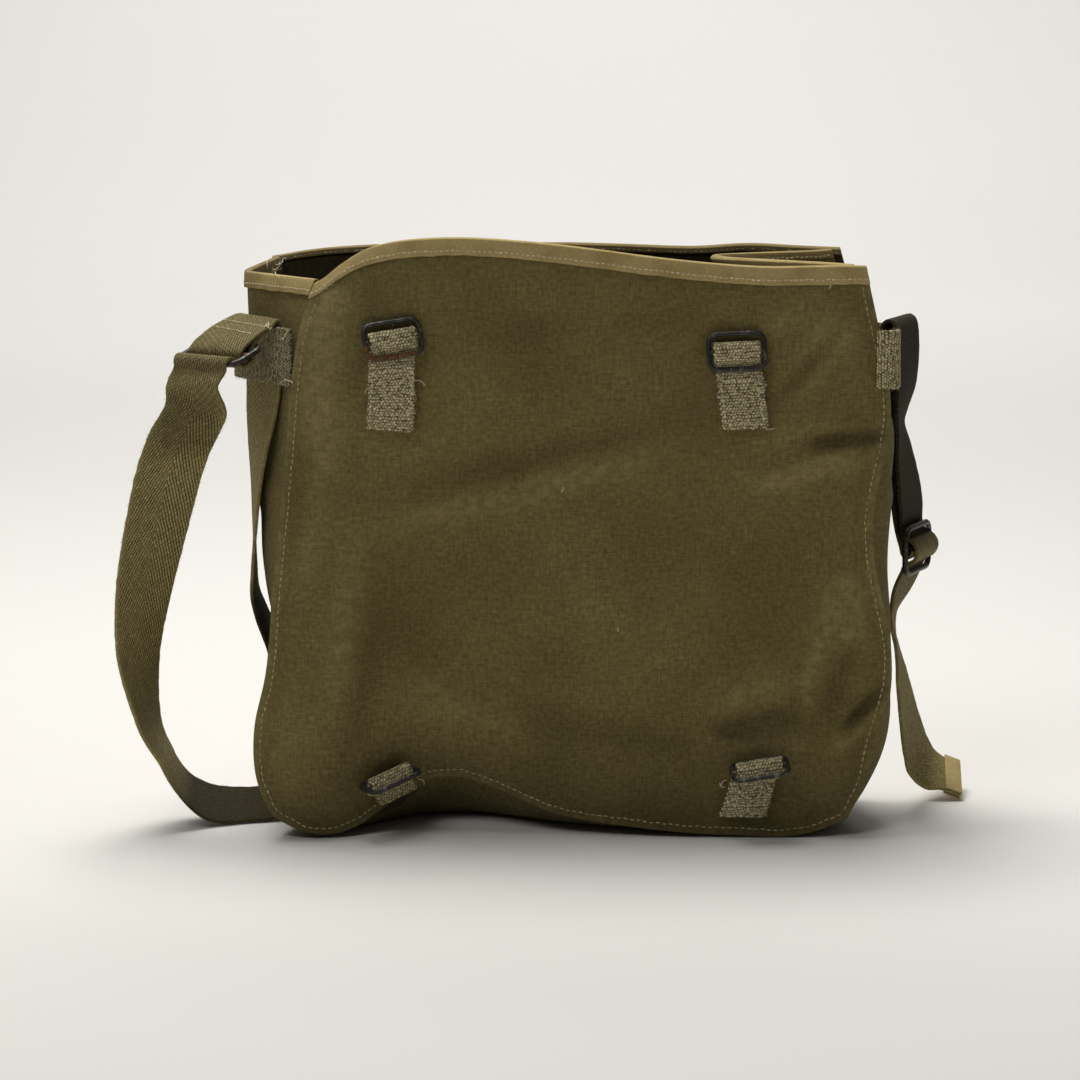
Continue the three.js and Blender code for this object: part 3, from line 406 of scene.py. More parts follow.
# %% Points and painted values
def places_of(mesh):
    flat = np.zeros(len(mesh.vertices) * 3, np.float32)
    mesh.vertices.foreach_get("co", flat)
    return flat.reshape(-1, 3).astype(float)


def set_places(mesh, places):
    mesh.vertices.foreach_set("co", places.astype(np.float32).ravel())
    mesh.update()


def normals_of(mesh):
    return np.array([list(v.normal) for v in mesh.vertices])


def set_flat(mesh, per_corner):
    """Writes the cloth's flat coordinates, in metres, one pair for each face corner."""
    for layer in list(mesh.uv_layers):
        mesh.uv_layers.remove(layer)
    layer = mesh.uv_layers.new(name="cloth")
    layer.data.foreach_set("uv", np.asarray(per_corner, np.float32).ravel())


def set_value(mesh, name, values):
    attribute = mesh.attributes.new(name, "FLOAT", "POINT")
    attribute.data.foreach_set("value", np.asarray(values, np.float32))


def corner_places(mesh, places):
    """The place of each face corner."""
    corners = np.zeros(len(mesh.loops), np.int32)
    mesh.loops.foreach_get("vertex_index", corners)
    return places[corners]


print("back panel points", len(places_of(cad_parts["back_panel"].data)))

# %% Outline of a panel
EDGE_ANGLE = math.radians(50)
WALL_STEP = 2.2 * MM


def welded(node):
    """A solid's mesh with its doubled corners merged, for following its edges, and its points."""
    mesh = bmesh.new()
    mesh.from_mesh(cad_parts[node].data)
    bmesh.ops.remove_doubles(mesh, verts=mesh.verts, dist=MERGE)
    mesh.verts.index_update()
    return mesh, np.array([list(v.co) for v in mesh.verts])


def sharp_links(mesh, limit, shortest=0.0):
    """For each point of a mesh, the points that sharp edges join it to."""
    near = {v.index: [] for v in mesh.verts}
    for edge in mesh.edges:
        if edge.calc_face_angle(0.0) > limit and edge.calc_length() > shortest:
            a, b = (v.index for v in edge.verts)
            near[a].append(b)
            near[b].append(a)
    return near


def panel_outline(node, outer_is_low_y):
    """The outer edge line of a panel solid, as points in order."""
    mesh, places = welded(node)
    near = sharp_links(mesh, EDGE_ANGLE, WALL_STEP)
    mesh.free()
    lines = []
    left = {i for i, others in near.items() if others}
    while left:
        line = [min(left)]
        left.discard(line[0])
        while True:
            ahead = [w for w in near[line[-1]] if w in left]
            if not ahead:
                break
            line.append(ahead[0])
            left.discard(ahead[0])
        lines.append(places[line])
    lines = sorted(lines, key=len)[-2:]
    lines.sort(key=lambda line: line[:, 1].mean())
    return lines[0 if outer_is_low_y else -1]


back_outline = panel_outline("back_panel", True)
front_outline = panel_outline("front_panel", False)
print("panel outlines", len(back_outline), len(front_outline), "points")

# %% Fold tables
Fold = namedtuple("Fold", "x z lie half wide out")
BACK_FOLDS = (
    Fold(-26, 200, 15, 82, 9, 2.2),
    Fold(-20, 216, 15, 80, 10, -1.6),
    Fold(152, 226, 4, 22, 4.5, -3.8),
    Fold(133, 211, 16, 34, 6, 3.0),
    Fold(122, 232, 8, 22, 5, 1.2),
    Fold(129, 278, 50, 34, 4, 1.7),
    Fold(141, 271, 52, 28, 4, 1.7),
    Fold(120, 262, 40, 26, 6, -1.3),
    Fold(112, 292, 35, 24, 5, 1.1),
    Fold(153, 131, 75, 20, 13, 3.0),
    Fold(135, 106, 78, 34, 5, 2.4),
    Fold(148, 92, 70, 26, 5, -1.6),
    Fold(162, 74, 46, 15, 4, -4.0),
    Fold(155, 60, 43, 16, 4, 2.8),
    Fold(101, 65, 12, 24, 8, -3.2),
    Fold(99, 84, 14, 28, 8, 1.5),
    Fold(118, 50, 20, 16, 4, 1.2),
    Fold(84, 54, -14, 14, 4, 1.1),
    Fold(-130, 120, 84, 46, 8, 1.5),
    Fold(-116, 96, 78, 40, 8, -1.4),
    Fold(-146, 190, 82, 50, 6, 1.4),
    Fold(-60, 70, 150, 40, 12, 1.8),
    Fold(20, 60, 170, 46, 10, -1.5),
    Fold(-128, 232, 70, 34, 7, 1.3),
    Fold(-143, 268, 84, 48, 11, 2.4),
    Fold(-120, 262, 84, 50, 8, -2.2),
    Fold(10, 292, 4, 60, 9, -1.0),
)
FRONT_FOLDS = (
    Fold(-70, 220, 20, 60, 10, 2.0),
    Fold(40, 190, -18, 70, 12, -2.0),
    Fold(-20, 90, 8, 80, 14, 2.2),
    Fold(110, 110, 66, 50, 9, 1.8),
    Fold(-120, 120, 112, 50, 10, -1.8),
    Fold(90, 260, 38, 40, 8, 1.6),
    Fold(10, 40, 172, 60, 9, -1.8),
)
FOLD_DEPTH = 1.4
PUCKER_REACH = 9.0
PUCKER_HEIGHT = 0.55
PUCKER_PITCH = 8.0


def fold_height(folds, x, z):
    """Height of all the folds together at points x, z, in millimetres."""
    total = np.zeros_like(x)
    for fold in folds:
        c, s = math.cos(math.radians(fold.lie)), math.sin(math.radians(fold.lie))
        along = (x - fold.x) * c + (z - fold.z) * s
        across = (z - fold.z) * c - (x - fold.x) * s
        total += FOLD_DEPTH * fold.out * np.exp(-((across / fold.wide) ** 2) - (along / fold.half) ** 4)
    return total


def rumple(x, z, size, seed):
    """Smooth unevenness of the cloth, about -1 to 1, with bumps of the given size."""
    return np.array([noise.noise(Vector((a / size, b / size, seed))) for a, b in zip(x, z)])


print("folds", len(BACK_FOLDS), "on the back panel and", len(FRONT_FOLDS), "on the front panel")

# %% Distances along lines
OUTLINE_STEP = 2 * MM


def reach_along(line):
    """How far along a line each of its points is."""
    return np.concatenate(([0], np.cumsum(np.linalg.norm(np.diff(line, axis=0), axis=1))))


def at_reach(wanted, reach, line):
    """Points of a line, or one point of it, at the wanted distances along it."""
    return np.stack([np.interp(wanted, reach, line[:, k]) for k in range(3)], axis=-1)


def even_round(outline, step, endpoint):
    """Points at even steps round a closed outline, and how far round each one is."""
    closed = np.vstack([outline, outline[:1]])
    reach = reach_along(closed)
    wanted = np.linspace(0, reach[-1], int(reach[-1] / step), endpoint=endpoint)
    return at_reach(wanted, reach, closed), wanted


def outline_reach(outline, places):
    """Distance in millimetres of each point from the outline, and how far round that is."""
    fine, around = even_round(outline, OUTLINE_STEP, False)
    tree = kdtree.KDTree(len(fine))
    for i, point in enumerate(fine):
        tree.insert(Vector(point), i)
    tree.balance()
    found = [tree.find(Vector(p)) for p in places]
    return np.array([f[2] for f in found]) / MM, around[[f[1] for f in found]] / MM


print("back outline", round(reach_along(back_outline)[-1], 3), "m round")

# %% Wear, painted shade and held cloth
TAB_MARGIN = 10.0
FLOOR_SHADE = 0.55
FLOOR_SHADE_HIGH = 70.0
FLOOR_SHADE_FALL = 1.5
SEAM_DARK = 0.12
SEAM_DARK_IN = 7.0
SEAM_DARK_WIDE = 5.0
CREASE_DEEP = 7.0
CREASE_SHADE = 0.5
EDGE_WEAR = 0.35
EDGE_WEAR_WIDE = 5.5
RIDGE_HIGH = 7.0
RIDGE_WEAR_AND_HIGHLIGHT = 0.4
INNER_SHARP = 4


def calm_near(nodes, x, z):
    """1 on open cloth and 0 under sewn webbing, where the cloth is held flat."""
    calm = np.ones_like(x)
    for node in nodes:
        low, high = (np.array(p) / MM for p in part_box(node))
        out_x = np.maximum(np.maximum(low[0] - x, x - high[0]), 0)
        out_z = np.maximum(np.maximum(low[2] - z, z - high[2]), 0)
        calm = np.minimum(calm, np.clip(np.hypot(out_x, out_z) / TAB_MARGIN, 0, 1))
    return calm * calm * (3 - 2 * calm)


def set_painted_shade(mesh, inward, z, reach, height):
    """Painted shade on the inner side, near the floor and in creases, and a darker band by the seams.
    """
    # Painted shade, darkest at the floor and fading out upwards.
    low = FLOOR_SHADE * np.clip((FLOOR_SHADE_HIGH - z) / FLOOR_SHADE_HIGH, 0, 1) ** FLOOR_SHADE_FALL
    # A darker band along the seams.
    seam = SEAM_DARK * np.exp(-((reach - SEAM_DARK_IN) / SEAM_DARK_WIDE) ** 2)
    # Painted shade in the hollows of the folds.
    crease = np.clip(-height / CREASE_DEEP, 0, CREASE_SHADE)
    # Painted shade on the inner side of the cloth.
    inner = np.clip(INNER_SHARP * inward, 0, 1)
    set_value(mesh, "inner", np.maximum(inner, low + seam + crease))


def set_wear_and_highlight(mesh, reach, height):
    """Paints pale cloth: worn sewn edges, and fold ridges, partly worn and partly a painted highlight.
    """
    edge = np.exp(-((reach / EDGE_WEAR_WIDE) ** 2)) * EDGE_WEAR
    # The fold ridges are partly worn and partly a painted highlight.
    set_value(mesh, "wear", np.clip(edge + np.clip(height / RIDGE_HIGH, 0, RIDGE_WEAR_AND_HIGHLIGHT), 0, 1))


print("cloth is held flat within", TAB_MARGIN, "mm of sewn webbing")

# %% Dress the panels
SUBDIVISIONS = 3
BUMP_SIZE = 46
BUMP_HEIGHT = 1.2
CRUMPLE_SIZE = 17
CRUMPLE_HEIGHT = 0.45
CRUMPLE_SQUASH = 0.6
EDGE_HELD = 3
EDGE_FREE = 9
PUCKER_IN = 6
PUCKER_START = 4
TAB_NODES = ("tab_upper_left", "tab_upper_right", "tab_lower_left", "tab_lower_right")
BUCKLE_NODES = tuple(n.replace("tab", "buckle") for n in TAB_NODES)


def dress_panel(node, name, folds, outline, facing, held_by, levels, seed):
    obj = copy_of_solid(node, name)
    apply_modifier(obj, "SUBSURF", levels=levels, render_levels=levels)
    places = places_of(obj.data)
    x, z = places[:, 0] / MM, places[:, 2] / MM
    reach, around = outline_reach(outline, places)
    height = fold_height(folds, x, z)
    crumple = CRUMPLE_HEIGHT * rumple(x, z * CRUMPLE_SQUASH, CRUMPLE_SIZE, seed + 9)
    height += BUMP_HEIGHT * rumple(x, z, BUMP_SIZE, seed) + crumple
    inside = np.clip((reach - EDGE_HELD) / EDGE_FREE, 0, 1)
    ripple = rumple(around, np.zeros_like(around), PUCKER_PITCH, seed + 5)
    pucker = PUCKER_HEIGHT * ripple * np.exp(-((reach - PUCKER_IN) / PUCKER_REACH) ** 2)
    moved = height * inside + pucker * np.clip(reach / PUCKER_START, 0, 1)
    places[:, 1] += facing * (calm_near(held_by, x, z) * moved) * MM
    set_places(obj.data, places)
    set_flat(obj.data, corner_places(obj.data, places)[:, (0, 2)])
    set_wear_and_highlight(obj.data, reach, height)
    set_painted_shade(obj.data, -facing * normals_of(obj.data)[:, 1], z, reach, height)
    smooth(obj)
    return obj


back_cloth = dress_panel(
    "back_panel", "back_canvas", BACK_FOLDS, back_outline, facing=-1,
    held_by=TAB_NODES + BUCKLE_NODES, levels=SUBDIVISIONS, seed=3,
)
finished(back_cloth, olive_canvas, "canvas", "back_panel")
front_cloth = dress_panel(
    "front_panel", "front_canvas", FRONT_FOLDS, front_outline, facing=1,
    held_by=(), levels=SUBDIVISIONS + 1, seed=21,
)
finished(front_cloth, olive_canvas, "canvas", "front_panel")

# %% Dress the gusset
GUSSET_FOLDS = (
    Fold(10, 230, 74, 50, 8, 1.4),
    Fold(-10, 150, 100, 60, 9, -1.5),
    Fold(20, 110, 60, 40, 7, 1.6),
    Fold(-20, 70, 120, 34, 7, -1.2),
    Fold(5, 190, 15, 26, 6, 1.0),
)
KEEPER_NODES = ("keeper_left", "keeper_right")
Fade = namedtuple("Fade", "start span")
GUSSET_LOW = Fade(40, 40)
GUSSET_HIGH = Fade(318, 20)
GUSSET_SEAM = Fade(42, 14)
GUSSET_BUMP = 30
GUSSET_BUMP_HEIGHT = 0.6
GUSSET_TOP = 330
GUSSET_WEAR = 0.5
GUSSET_WEAR_WIDE = 12
FAR_FROM_SEAM = 30


def dress_gusset():
    obj = copy_of_solid("gusset", "gusset_canvas")
    levels = SUBDIVISIONS - 1
    apply_modifier(obj, "SUBSURF", levels=levels, render_levels=levels)
    places = places_of(obj.data)
    y, z = places[:, 1] / MM, places[:, 2] / MM
    side = np.sign(places[:, 0])
    held = calm_near(KEEPER_NODES, places[:, 0] / MM, z)
    above = np.clip((z - GUSSET_LOW.start) / GUSSET_LOW.span, 0, 1)
    below = np.clip((GUSSET_HIGH.start - z) / GUSSET_HIGH.span, 0, 1)
    inner = np.clip((GUSSET_SEAM.start - np.abs(y)) / GUSSET_SEAM.span, 0, 1)
    moved = fold_height(GUSSET_FOLDS, y * side, z) + GUSSET_BUMP_HEIGHT * rumple(y, z, GUSSET_BUMP, 40)
    places[:, 0] += side * moved * (above * below) * inner * held * MM
    set_places(obj.data, places)
    at = corner_places(obj.data, places)
    flat = at[:, (1, 2)].copy()
    for face in obj.data.polygons:
        if abs(face.normal.z) > abs(face.normal.x):
            corners = slice(face.loop_start, face.loop_start + face.loop_total)
            flat[corners, 1] = at[corners, 0]
    set_flat(obj.data, flat)
    worn = np.exp(-((GUSSET_TOP - z) / GUSSET_WEAR_WIDE) ** 2) * GUSSET_WEAR
    set_value(obj.data, "wear", np.clip(worn, 0, 1))
    normals = normals_of(obj.data)
    on_floor = np.abs(normals[:, 2]) > np.abs(normals[:, 0])
    outward = np.where(on_floor, -normals[:, 2], normals[:, 0] * side)
    # Painted shade on the gusset's inner side and towards the floor.
    set_painted_shade(obj.data, -outward, z, np.full_like(z, FAR_FROM_SEAM), np.zeros_like(z))
    smooth(obj)
    return obj


gusset_cloth = dress_gusset()
finished(gusset_cloth, olive_canvas, "canvas", "gusset")

# %% [markdown]
# ## Webbing and tape from their corner lines
# A webbing solid is a long bar with sharp corners, so its corner edges can be followed from one
# end cap to the other. The two long edges give the middle of the band at every step. A fine grid
# is laid between them, with its flat coordinates across and along, and a solidify and a bevel
# modifier give it its thickness and soft edges. Making it flat first keeps the weave straight.
# A strap turns too tightly for its sharp edges to be told apart, so it is followed ring by ring.

# %% Corner lines of a band
CORNER_LIMITS = (60, 50, 40, 70, 75)


def walk_corners(node, corners, limit):
    """Corner lines from cap to cap, or None where this angle limit finds the wrong edges."""
    mesh, places = welded(node)
    near = sharp_links(mesh, limit)
    mesh.free()
    ends = {i for i, others in near.items() if len(others) > 2}
    if len(ends) != 2 * corners:
        return None
    cap = [min(ends)]
    while len(cap) < corners:
        ahead = [w for w in near[cap[-1]] if w in ends and w not in cap]
        if not ahead:
            return None
        cap.append(ahead[0])
    lines = []
    for first in cap:
        line = [first]
        ahead = [w for w in near[first] if w not in ends]
        while len(ahead) == 1:
            line.append(ahead[0])
            if line[-1] in ends:
                break
            ahead = [w for w in near[line[-1]] if w != line[-2]]
        lines.append(places[line])
    if len({len(line) for line in lines}) != 1:
        return None
    return np.array(lines)


def corner_lines(node, corners):
    for limit in CORNER_LIMITS:
        lines = walk_corners(node, corners, math.radians(limit))
        if lines is not None:
            return lines
    raise RuntimeError("no clean corner lines on " + node)


print("corner lines of a tab", corner_lines("tab_upper_left", 4).shape[:2])

# %% Rings of a strap
# A place near the first end cap of each strap
STRAP_ENDS = {
    "strap_left": (-0.18725, -0.02143, 0.28437),
    "strap_right": (0.226, 0.063, 0.0096),
}
CAP_FLAT = 0.02
CAP_LONG = 30 * MM


def ring_step(places, ring, choice):
    """How far the corners of a ring move to reach the next one."""
    return sum(np.linalg.norm(places[v] - places[w]) for v, w in zip(ring, choice))


def strap_lines(node, end):
    """Corner lines of a strap with tight turns: ring after ring from the end cap near a place."""
    mesh, places = welded(node)
    flat = [e for e in mesh.edges if e.calc_face_angle(0.0) < CAP_FLAT]
    caps = [e for e in flat if e.calc_length() > CAP_LONG]
    middle = {e: (e.verts[0].co + e.verts[1].co) / 2 for e in caps}
    diagonal = min(caps, key=lambda e: (middle[e] - Vector(end)).length)
    others = [v for f in diagonal.link_faces for v in f.verts if v not in diagonal.verts]
    ring = [v.index for v in (diagonal.verts[0], others[0], diagonal.verts[1], others[1])]
    near = {v.index: {e.other_vert(v).index for e in v.link_edges} for v in mesh.verts}
    mesh.free()
    rings = [ring]
    done = set(ring)
    while len(done) < len(near):
        ahead = sorted({w for v in rings[-1] for w in near[v]} - done)
        choices = [c for c in permutations(ahead) if all(w in near[v] for v, w in zip(rings[-1], c))]
        rings.append(min(choices, key=lambda c: ring_step(places, rings[-1], c)))
        done.update(ahead)
    return np.array([[places[ring[k]] for ring in rings] for k in range(4)])


print("rings of the left strap", strap_lines("strap_left", STRAP_ENDS["strap_left"]).shape[1])

# %% Edges of a band
def finer(lines, step):
    """The same lines with even steps, along smooth curves, and the distance along them."""
    reach = reach_along(lines.mean(axis=0))
    wanted = np.linspace(0, reach[-1], max(3, int(round(reach[-1] / step)) + 1))
    slope = np.gradient(lines, reach, axis=1)
    i = np.clip(np.searchsorted(reach, wanted, side="right") - 1, 0, len(reach) - 2)
    span = reach[i + 1] - reach[i]
    t = ((wanted - reach[i]) / span)[None, :, None]
    span = span[None, :, None]
    a, b = lines[:, i], lines[:, i + 1]
    da, db = slope[:, i] * span, slope[:, i + 1] * span
    curve = (2 * t**3 - 3 * t**2 + 1) * a + (t**3 - 2 * t**2 + t) * da
    curve = curve + (3 * t**2 - 2 * t**3) * b + (t**3 - t**2) * db
    return curve, wanted


def band_edges(node):
    """Middle lines of the two long edges of a webbing solid."""
    lines = strap_lines(node, STRAP_ENDS[node]) if node in STRAP_ENDS else corner_lines(node, 4)
    gap = [np.linalg.norm(lines[k] - lines[(k + 1) % 4], axis=1).mean() for k in range(4)]
    k = 0 if gap[0] < gap[1] else 1
    first = (lines[k] + lines[k + 1]) / 2
    second = (lines[(k + 2) % 4] + lines[(k + 3) % 4]) / 2
    return np.array([first, second])


print("edges of a tab", band_edges("tab_upper_left").shape[:2])

# %% Bands of cloth
SOFT_EDGE_ANGLE = math.radians(55)


def band_mesh(name, rows, across, along):
    """A sheet of quads from rows of points, with its flat coordinates."""
    columns, rings = rows.shape[:2]
    faces = []
    flat = []
    for c in range(columns - 1):
        for r in range(rings - 1):
            corners = [(c, r), (c + 1, r), (c + 1, r + 1), (c, r + 1)]
            faces.append([i * rings + k for i, k in corners])
            flat.extend((across[i], along[k]) for i, k in corners)
    mesh = bpy.data.meshes.new(name)
    mesh.from_pydata(rows.reshape(-1, 3).tolist(), [], faces)
    mesh.update()
    obj = linked(name, mesh)
    set_flat(mesh, flat)
    set_value(mesh, "across", np.repeat(across, rings))
    set_value(mesh, "along", np.tile(along, columns))
    return obj


def face_outward(obj):
    """Turns every face of a piece to its outside."""
    make_active(obj)
    bpy.ops.object.mode_set(mode="EDIT")
    bpy.ops.mesh.select_all(action="SELECT")
    bpy.ops.mesh.normals_make_consistent(inside=False)
    bpy.ops.object.mode_set(mode="OBJECT")


def soft_edges(obj, width, angle):
    apply_modifier(obj, "BEVEL", width=width, segments=2, limit_method="ANGLE", angle_limit=angle)


def thicken(obj, thickness, soft_edge):
    face_outward(obj)
    apply_modifier(obj, "SOLIDIFY", thickness=thickness, offset=0.0)
    soft_edges(obj, soft_edge, SOFT_EDGE_ANGLE)
    smooth(obj)


print("soft edges turn by", round(math.degrees(SOFT_EDGE_ANGLE)), "degrees or more")

# %% Webbing bands and their floats
FLOAT_WIDE = 1.8 * MM
FLOAT_TALL = 1.6 * MM
FLOAT_HEIGHT = 0.42 * MM
FLOAT_PLUMP = 0.6
ROW_STRAY = 0.45
COLUMN_STRAY = 0.35
EDGE_WAVE = 5
SOFT_SHARE = 0.3
Band = namedtuple("Band", "thick step columns ragged seed")
band_sides = {}


def value_of(mesh, name):
    values = np.zeros(len(mesh.vertices))
    mesh.attributes[name].data.foreach_get("value", values)
    return values


def weave_relief(obj):
    """Raises the fat uneven floats of a plain weave out of both faces of a band."""
    row = value_of(obj.data, "along") / FLOAT_TALL
    column = value_of(obj.data, "across") / FLOAT_WIDE
    row = row + ROW_STRAY * rumple(column, row, 2.1, 71)
    column = column + 0.5 * (np.floor(row) % 2) + COLUMN_STRAY * rumple(column, row, 1.7, 74)
    floats = np.abs(np.sin(np.pi * column) * np.sin(np.pi * row)) ** FLOAT_PLUMP
    floats = floats * np.clip(0.8 + 0.7 * rumple(column, row, 1.1, 77), 0.25, 1.3)
    places = places_of(obj.data) + normals_of(obj.data) * (floats * FLOAT_HEIGHT)[:, None]
    set_places(obj.data, places)
    set_value(obj.data, "float", floats)


def webbing_band(node, name, band, number):
    """A webbing band along a solid, a little uneven at its two long edges."""
    edges, along = finer(band_edges(node), band.step)
    width = np.linalg.norm(edges[0] - edges[1], axis=1)
    shares = np.linspace(0, 1, band.columns)
    level = np.zeros_like(along)
    seeds = (band.seed + number, band.seed + number + 1)
    wander = [rumple(along / MM, level, EDGE_WAVE, seed) * band.ragged for seed in seeds]
    sideways = (edges[1] - edges[0]) / width[:, None]
    first = edges[0] + sideways * wander[0][:, None]
    second = edges[1] + sideways * wander[1][:, None]
    rows = np.array([first * (1 - s) + second * s for s in shares])
    obj = band_mesh(name, rows, shares * width.mean(), along)
    thicken(obj, band.thick, band.thick * SOFT_SHARE)
    band_sides[node] = ((first, -sideways), (second, sideways))
    print(name, "length", round(along[-1], 3), "m, width", round(width.mean(), 4), "m")
    return obj


# %% [markdown]
# ## Finishes of the webbing
# The tabs and keepers are a coarse plain-woven cotton webbing, grey-olive, with fat floats about
# 1.8 mm wide in rows 1.6 mm apart and pale broken fibres. The shoulder straps are a herringbone
# webbing: slanting ribs that lean one way on one half and the other way on the other half. In
# both, the gaps between the floats are painted dark as painted shade, and the pale fibres on the
# floats are partly a painted highlight.

# %% Threads of a band
WOBBLE_SCALE = 260
WOBBLE = 0.4 * MM
# The tone of painted shade and of darker stretches on the bands.
DARKENING_TONE = linear(100, 94, 88)


def bump_wave(f, value, power):
    """The size of a sine of half turns, raised to a power, so floats look plump."""
    wave = f.maths("ABSOLUTE", f.maths("SINE", f.times(value, math.pi)))
    return f.maths("POWER", wave, power)


def chance_of_cell(f, column, row):
    """A random value for each float of a weave, the same all over the float."""
    cell = f.node("CombineXYZ", f.maths("FLOOR", column), f.maths("FLOOR", row)).outputs[0]
    return f.node("TexWhiteNoise", cell, noise_dimensions="2D").outputs["Value"]


def band_ways(f, flat):
    """Distances across and along a band, a little uneven, as its threads are."""
    wobble = f.node("TexNoise", flat)
    wobble.inputs["Scale"].default_value = WOBBLE_SCALE
    shift = f.stretched(wobble.outputs["Color"], (WOBBLE, WOBBLE, 0))
    moved = f.node("VectorMath", flat, shift, operation="ADD").outputs[0]
    parts = f.node("SeparateXYZ", moved).outputs
    return parts[0], parts[1]


def with_darkening(f, colour):
    """The colour, darker where the band is painted darker, as painted shade on some stretches."""
    dark = f.mixed(1.0, colour, DARKENING_TONE, "MULTIPLY")
    return f.mixed(f.painted("darkening"), colour, dark)


# %% Plain webbing
STAIN = Grain(60, 2.0, 0.5, 0.7)
TAB_FIBRE = (1500, 500, 1)


def plain_webbing(name, gap, body, pale):
    f = Finish(name, 0.9, 0.03)
    flat = f.flat()
    floats = f.painted("float")
    fibre = f.cloud(f.stretched(flat, TAB_FIBRE), 1.0, 3.0)
    # The gap colour between the floats is painted shade.
    colour = f.mixed(f.level(floats, 0.1, 0.75), gap, body)
    # Pale fibres on the floats, partly a painted highlight.
    light = f.times(f.level(fibre, 0.42, 0.7), f.level(floats, 0.3, 0.8))
    colour = f.mixed(f.times(light, 0.9), colour, pale)
    colour = f.mixed(f.times(f.grain(flat, STAIN), 0.35), colour, gap)
    f.coloured(with_darkening(f, colour))
    f.relief(f.scaled(fibre, 0.35, floats), 0.6, 0.4 * MM)
    return f.material


tab_webbing = plain_webbing(
    "tab_webbing", linear(66, 59, 39), linear(200, 187, 142), linear(250, 241, 206)
)
print("finish", tab_webbing.name, len(tab_webbing.node_tree.nodes), "nodes")

# %% Herringbone webbing
STRAP_FIBRE = (1300, 420, 1)
STRAP_FADE = 22
RIB_PITCH = 1.75 * MM
RIB_LEAN = 0.42
RIB_FLOAT = 2.6 * MM
RIB_STAGGER = 0.37
STRAP_HALF = 19.0 * MM
SELVEDGE_IN = STRAP_HALF - 2.0 * MM
SELVEDGE_OUT = STRAP_HALF - 0.4 * MM
SELVEDGE_FLOAT = 0.55


def herringbone_webbing(name, gap, body, pale):
    f = Finish(name, 0.9, 0.03)
    flat = f.flat()
    across, along = band_ways(f, flat)
    off_middle = f.maths("SUBTRACT", across, STRAP_HALF)
    slant = f.times(f.times(along, RIB_LEAN), f.maths("SIGN", off_middle))
    rib = f.maths("DIVIDE", f.maths("ADD", across, slant), RIB_PITCH)
    stagger = f.times(f.maths("FLOOR", rib), RIB_STAGGER)
    run = f.maths("ADD", f.maths("DIVIDE", along, RIB_FLOAT), stagger)
    plump = f.scaled(bump_wave(f, run, 0.5), 0.55, 0.45)
    floats = f.times(bump_wave(f, rib, 0.6), plump)
    floats = f.times(floats, f.scaled(chance_of_cell(f, rib, run), 0.35, 0.7))
    selvedge = f.level(f.maths("ABSOLUTE", off_middle), SELVEDGE_IN, SELVEDGE_OUT)
    floats = f.scaled(f.maths("SUBTRACT", SELVEDGE_FLOAT, floats), selvedge, floats)
    fibre = f.cloud(f.stretched(flat, STRAP_FIBRE), 1.0, 3.0)
    # The gap colour between the floats is painted shade.
    colour = f.mixed(f.level(floats, 0.15, 0.7), gap, body)
    # Pale fibres on the floats, partly a painted highlight.
    light = f.times(f.level(fibre, 0.48, 0.74), f.level(floats, 0.35, 0.9))
    light = f.times(light, f.scaled(f.cloud(flat, STRAP_FADE), 0.9, 0.15))
    colour = f.mixed(light, colour, pale)
    f.coloured(with_darkening(f, colour))
    f.relief(f.scaled(fibre, 0.25, floats), 0.9, 0.8 * MM)
    return f.material


strap_webbing = herringbone_webbing(
    "strap_webbing", linear(40, 35, 17), linear(160, 145, 92), linear(246, 231, 172)
)
print("finish", strap_webbing.name, len(strap_webbing.node_tree.nodes), "nodes")

# %% [markdown]
# ## Tabs, keepers and straps
# Four tabs are sewn to the near panel, each folded round the middle bar of its buckle. A keeper
# is sewn round each side of the pack, and a shoulder strap runs through it. The floats of the
# coarse webbing are raised in its mesh, as they show at its edge too, and the finer ribs of the
# straps stay in their finish. Some stretches are painted darker: painted shade on the right strap
# and on the tapes inside the mouth, and darker stretches on the left strap and the left keeper.
# Each is a box in space with a soft edge, painted on the band, so that the darkening lies in one
# place and not along the weave.

# %% Painted shade and darker stretches on the bands
Darkening = namedtuple("Darkening", "piece low high amount")
DARKENINGS = (
    # Painted shade on the right strap, where it hangs in shade beside the pack.
    Darkening("strap_right_band", (0.1, -0.1, 0.15), (0.3, 0.1, 0.35), 1.0),
    Darkening("strap_right_band", (0.1, -0.1, 0.11), (0.3, 0.1, 0.16), 0.5),
    # Darker stretches of the left strap and of the left keeper.
    Darkening("strap_left_band", (-0.235, -0.1, -0.05), (-0.1, 0.1, 0.06), 0.95),
    Darkening("strap_left_band", (-0.2, -0.1, 0.085), (-0.11, 0.1, 0.14), 1.0),
    Darkening("strap_left_band", (-0.245, -0.1, 0.21), (-0.19, 0.1, 0.262), 0.5),
    Darkening("strap_left_band", (-0.26, -0.1, 0.25), (-0.15, 0.1, 0.31), 0.45),
    Darkening("keeper_left_band", (-0.3, -0.1, 0.2), (-0.1, 0.1, 0.3), 0.4),
    # Painted shade on the tapes inside the mouth.
    Darkening("mouth_tape_left", (-0.3, 0.0, 0.2), (-0.1, 0.1, 0.4), 0.55),
    Darkening("mouth_tape_front", (-0.3, 0.0, 0.2), (0.3, 0.1, 0.4), 0.45),
    Darkening("mouth_tape_right", (0.0, -0.02, 0.2), (0.3, 0.1, 0.4), 0.3),
)
DARKENING_FADE = 0.015


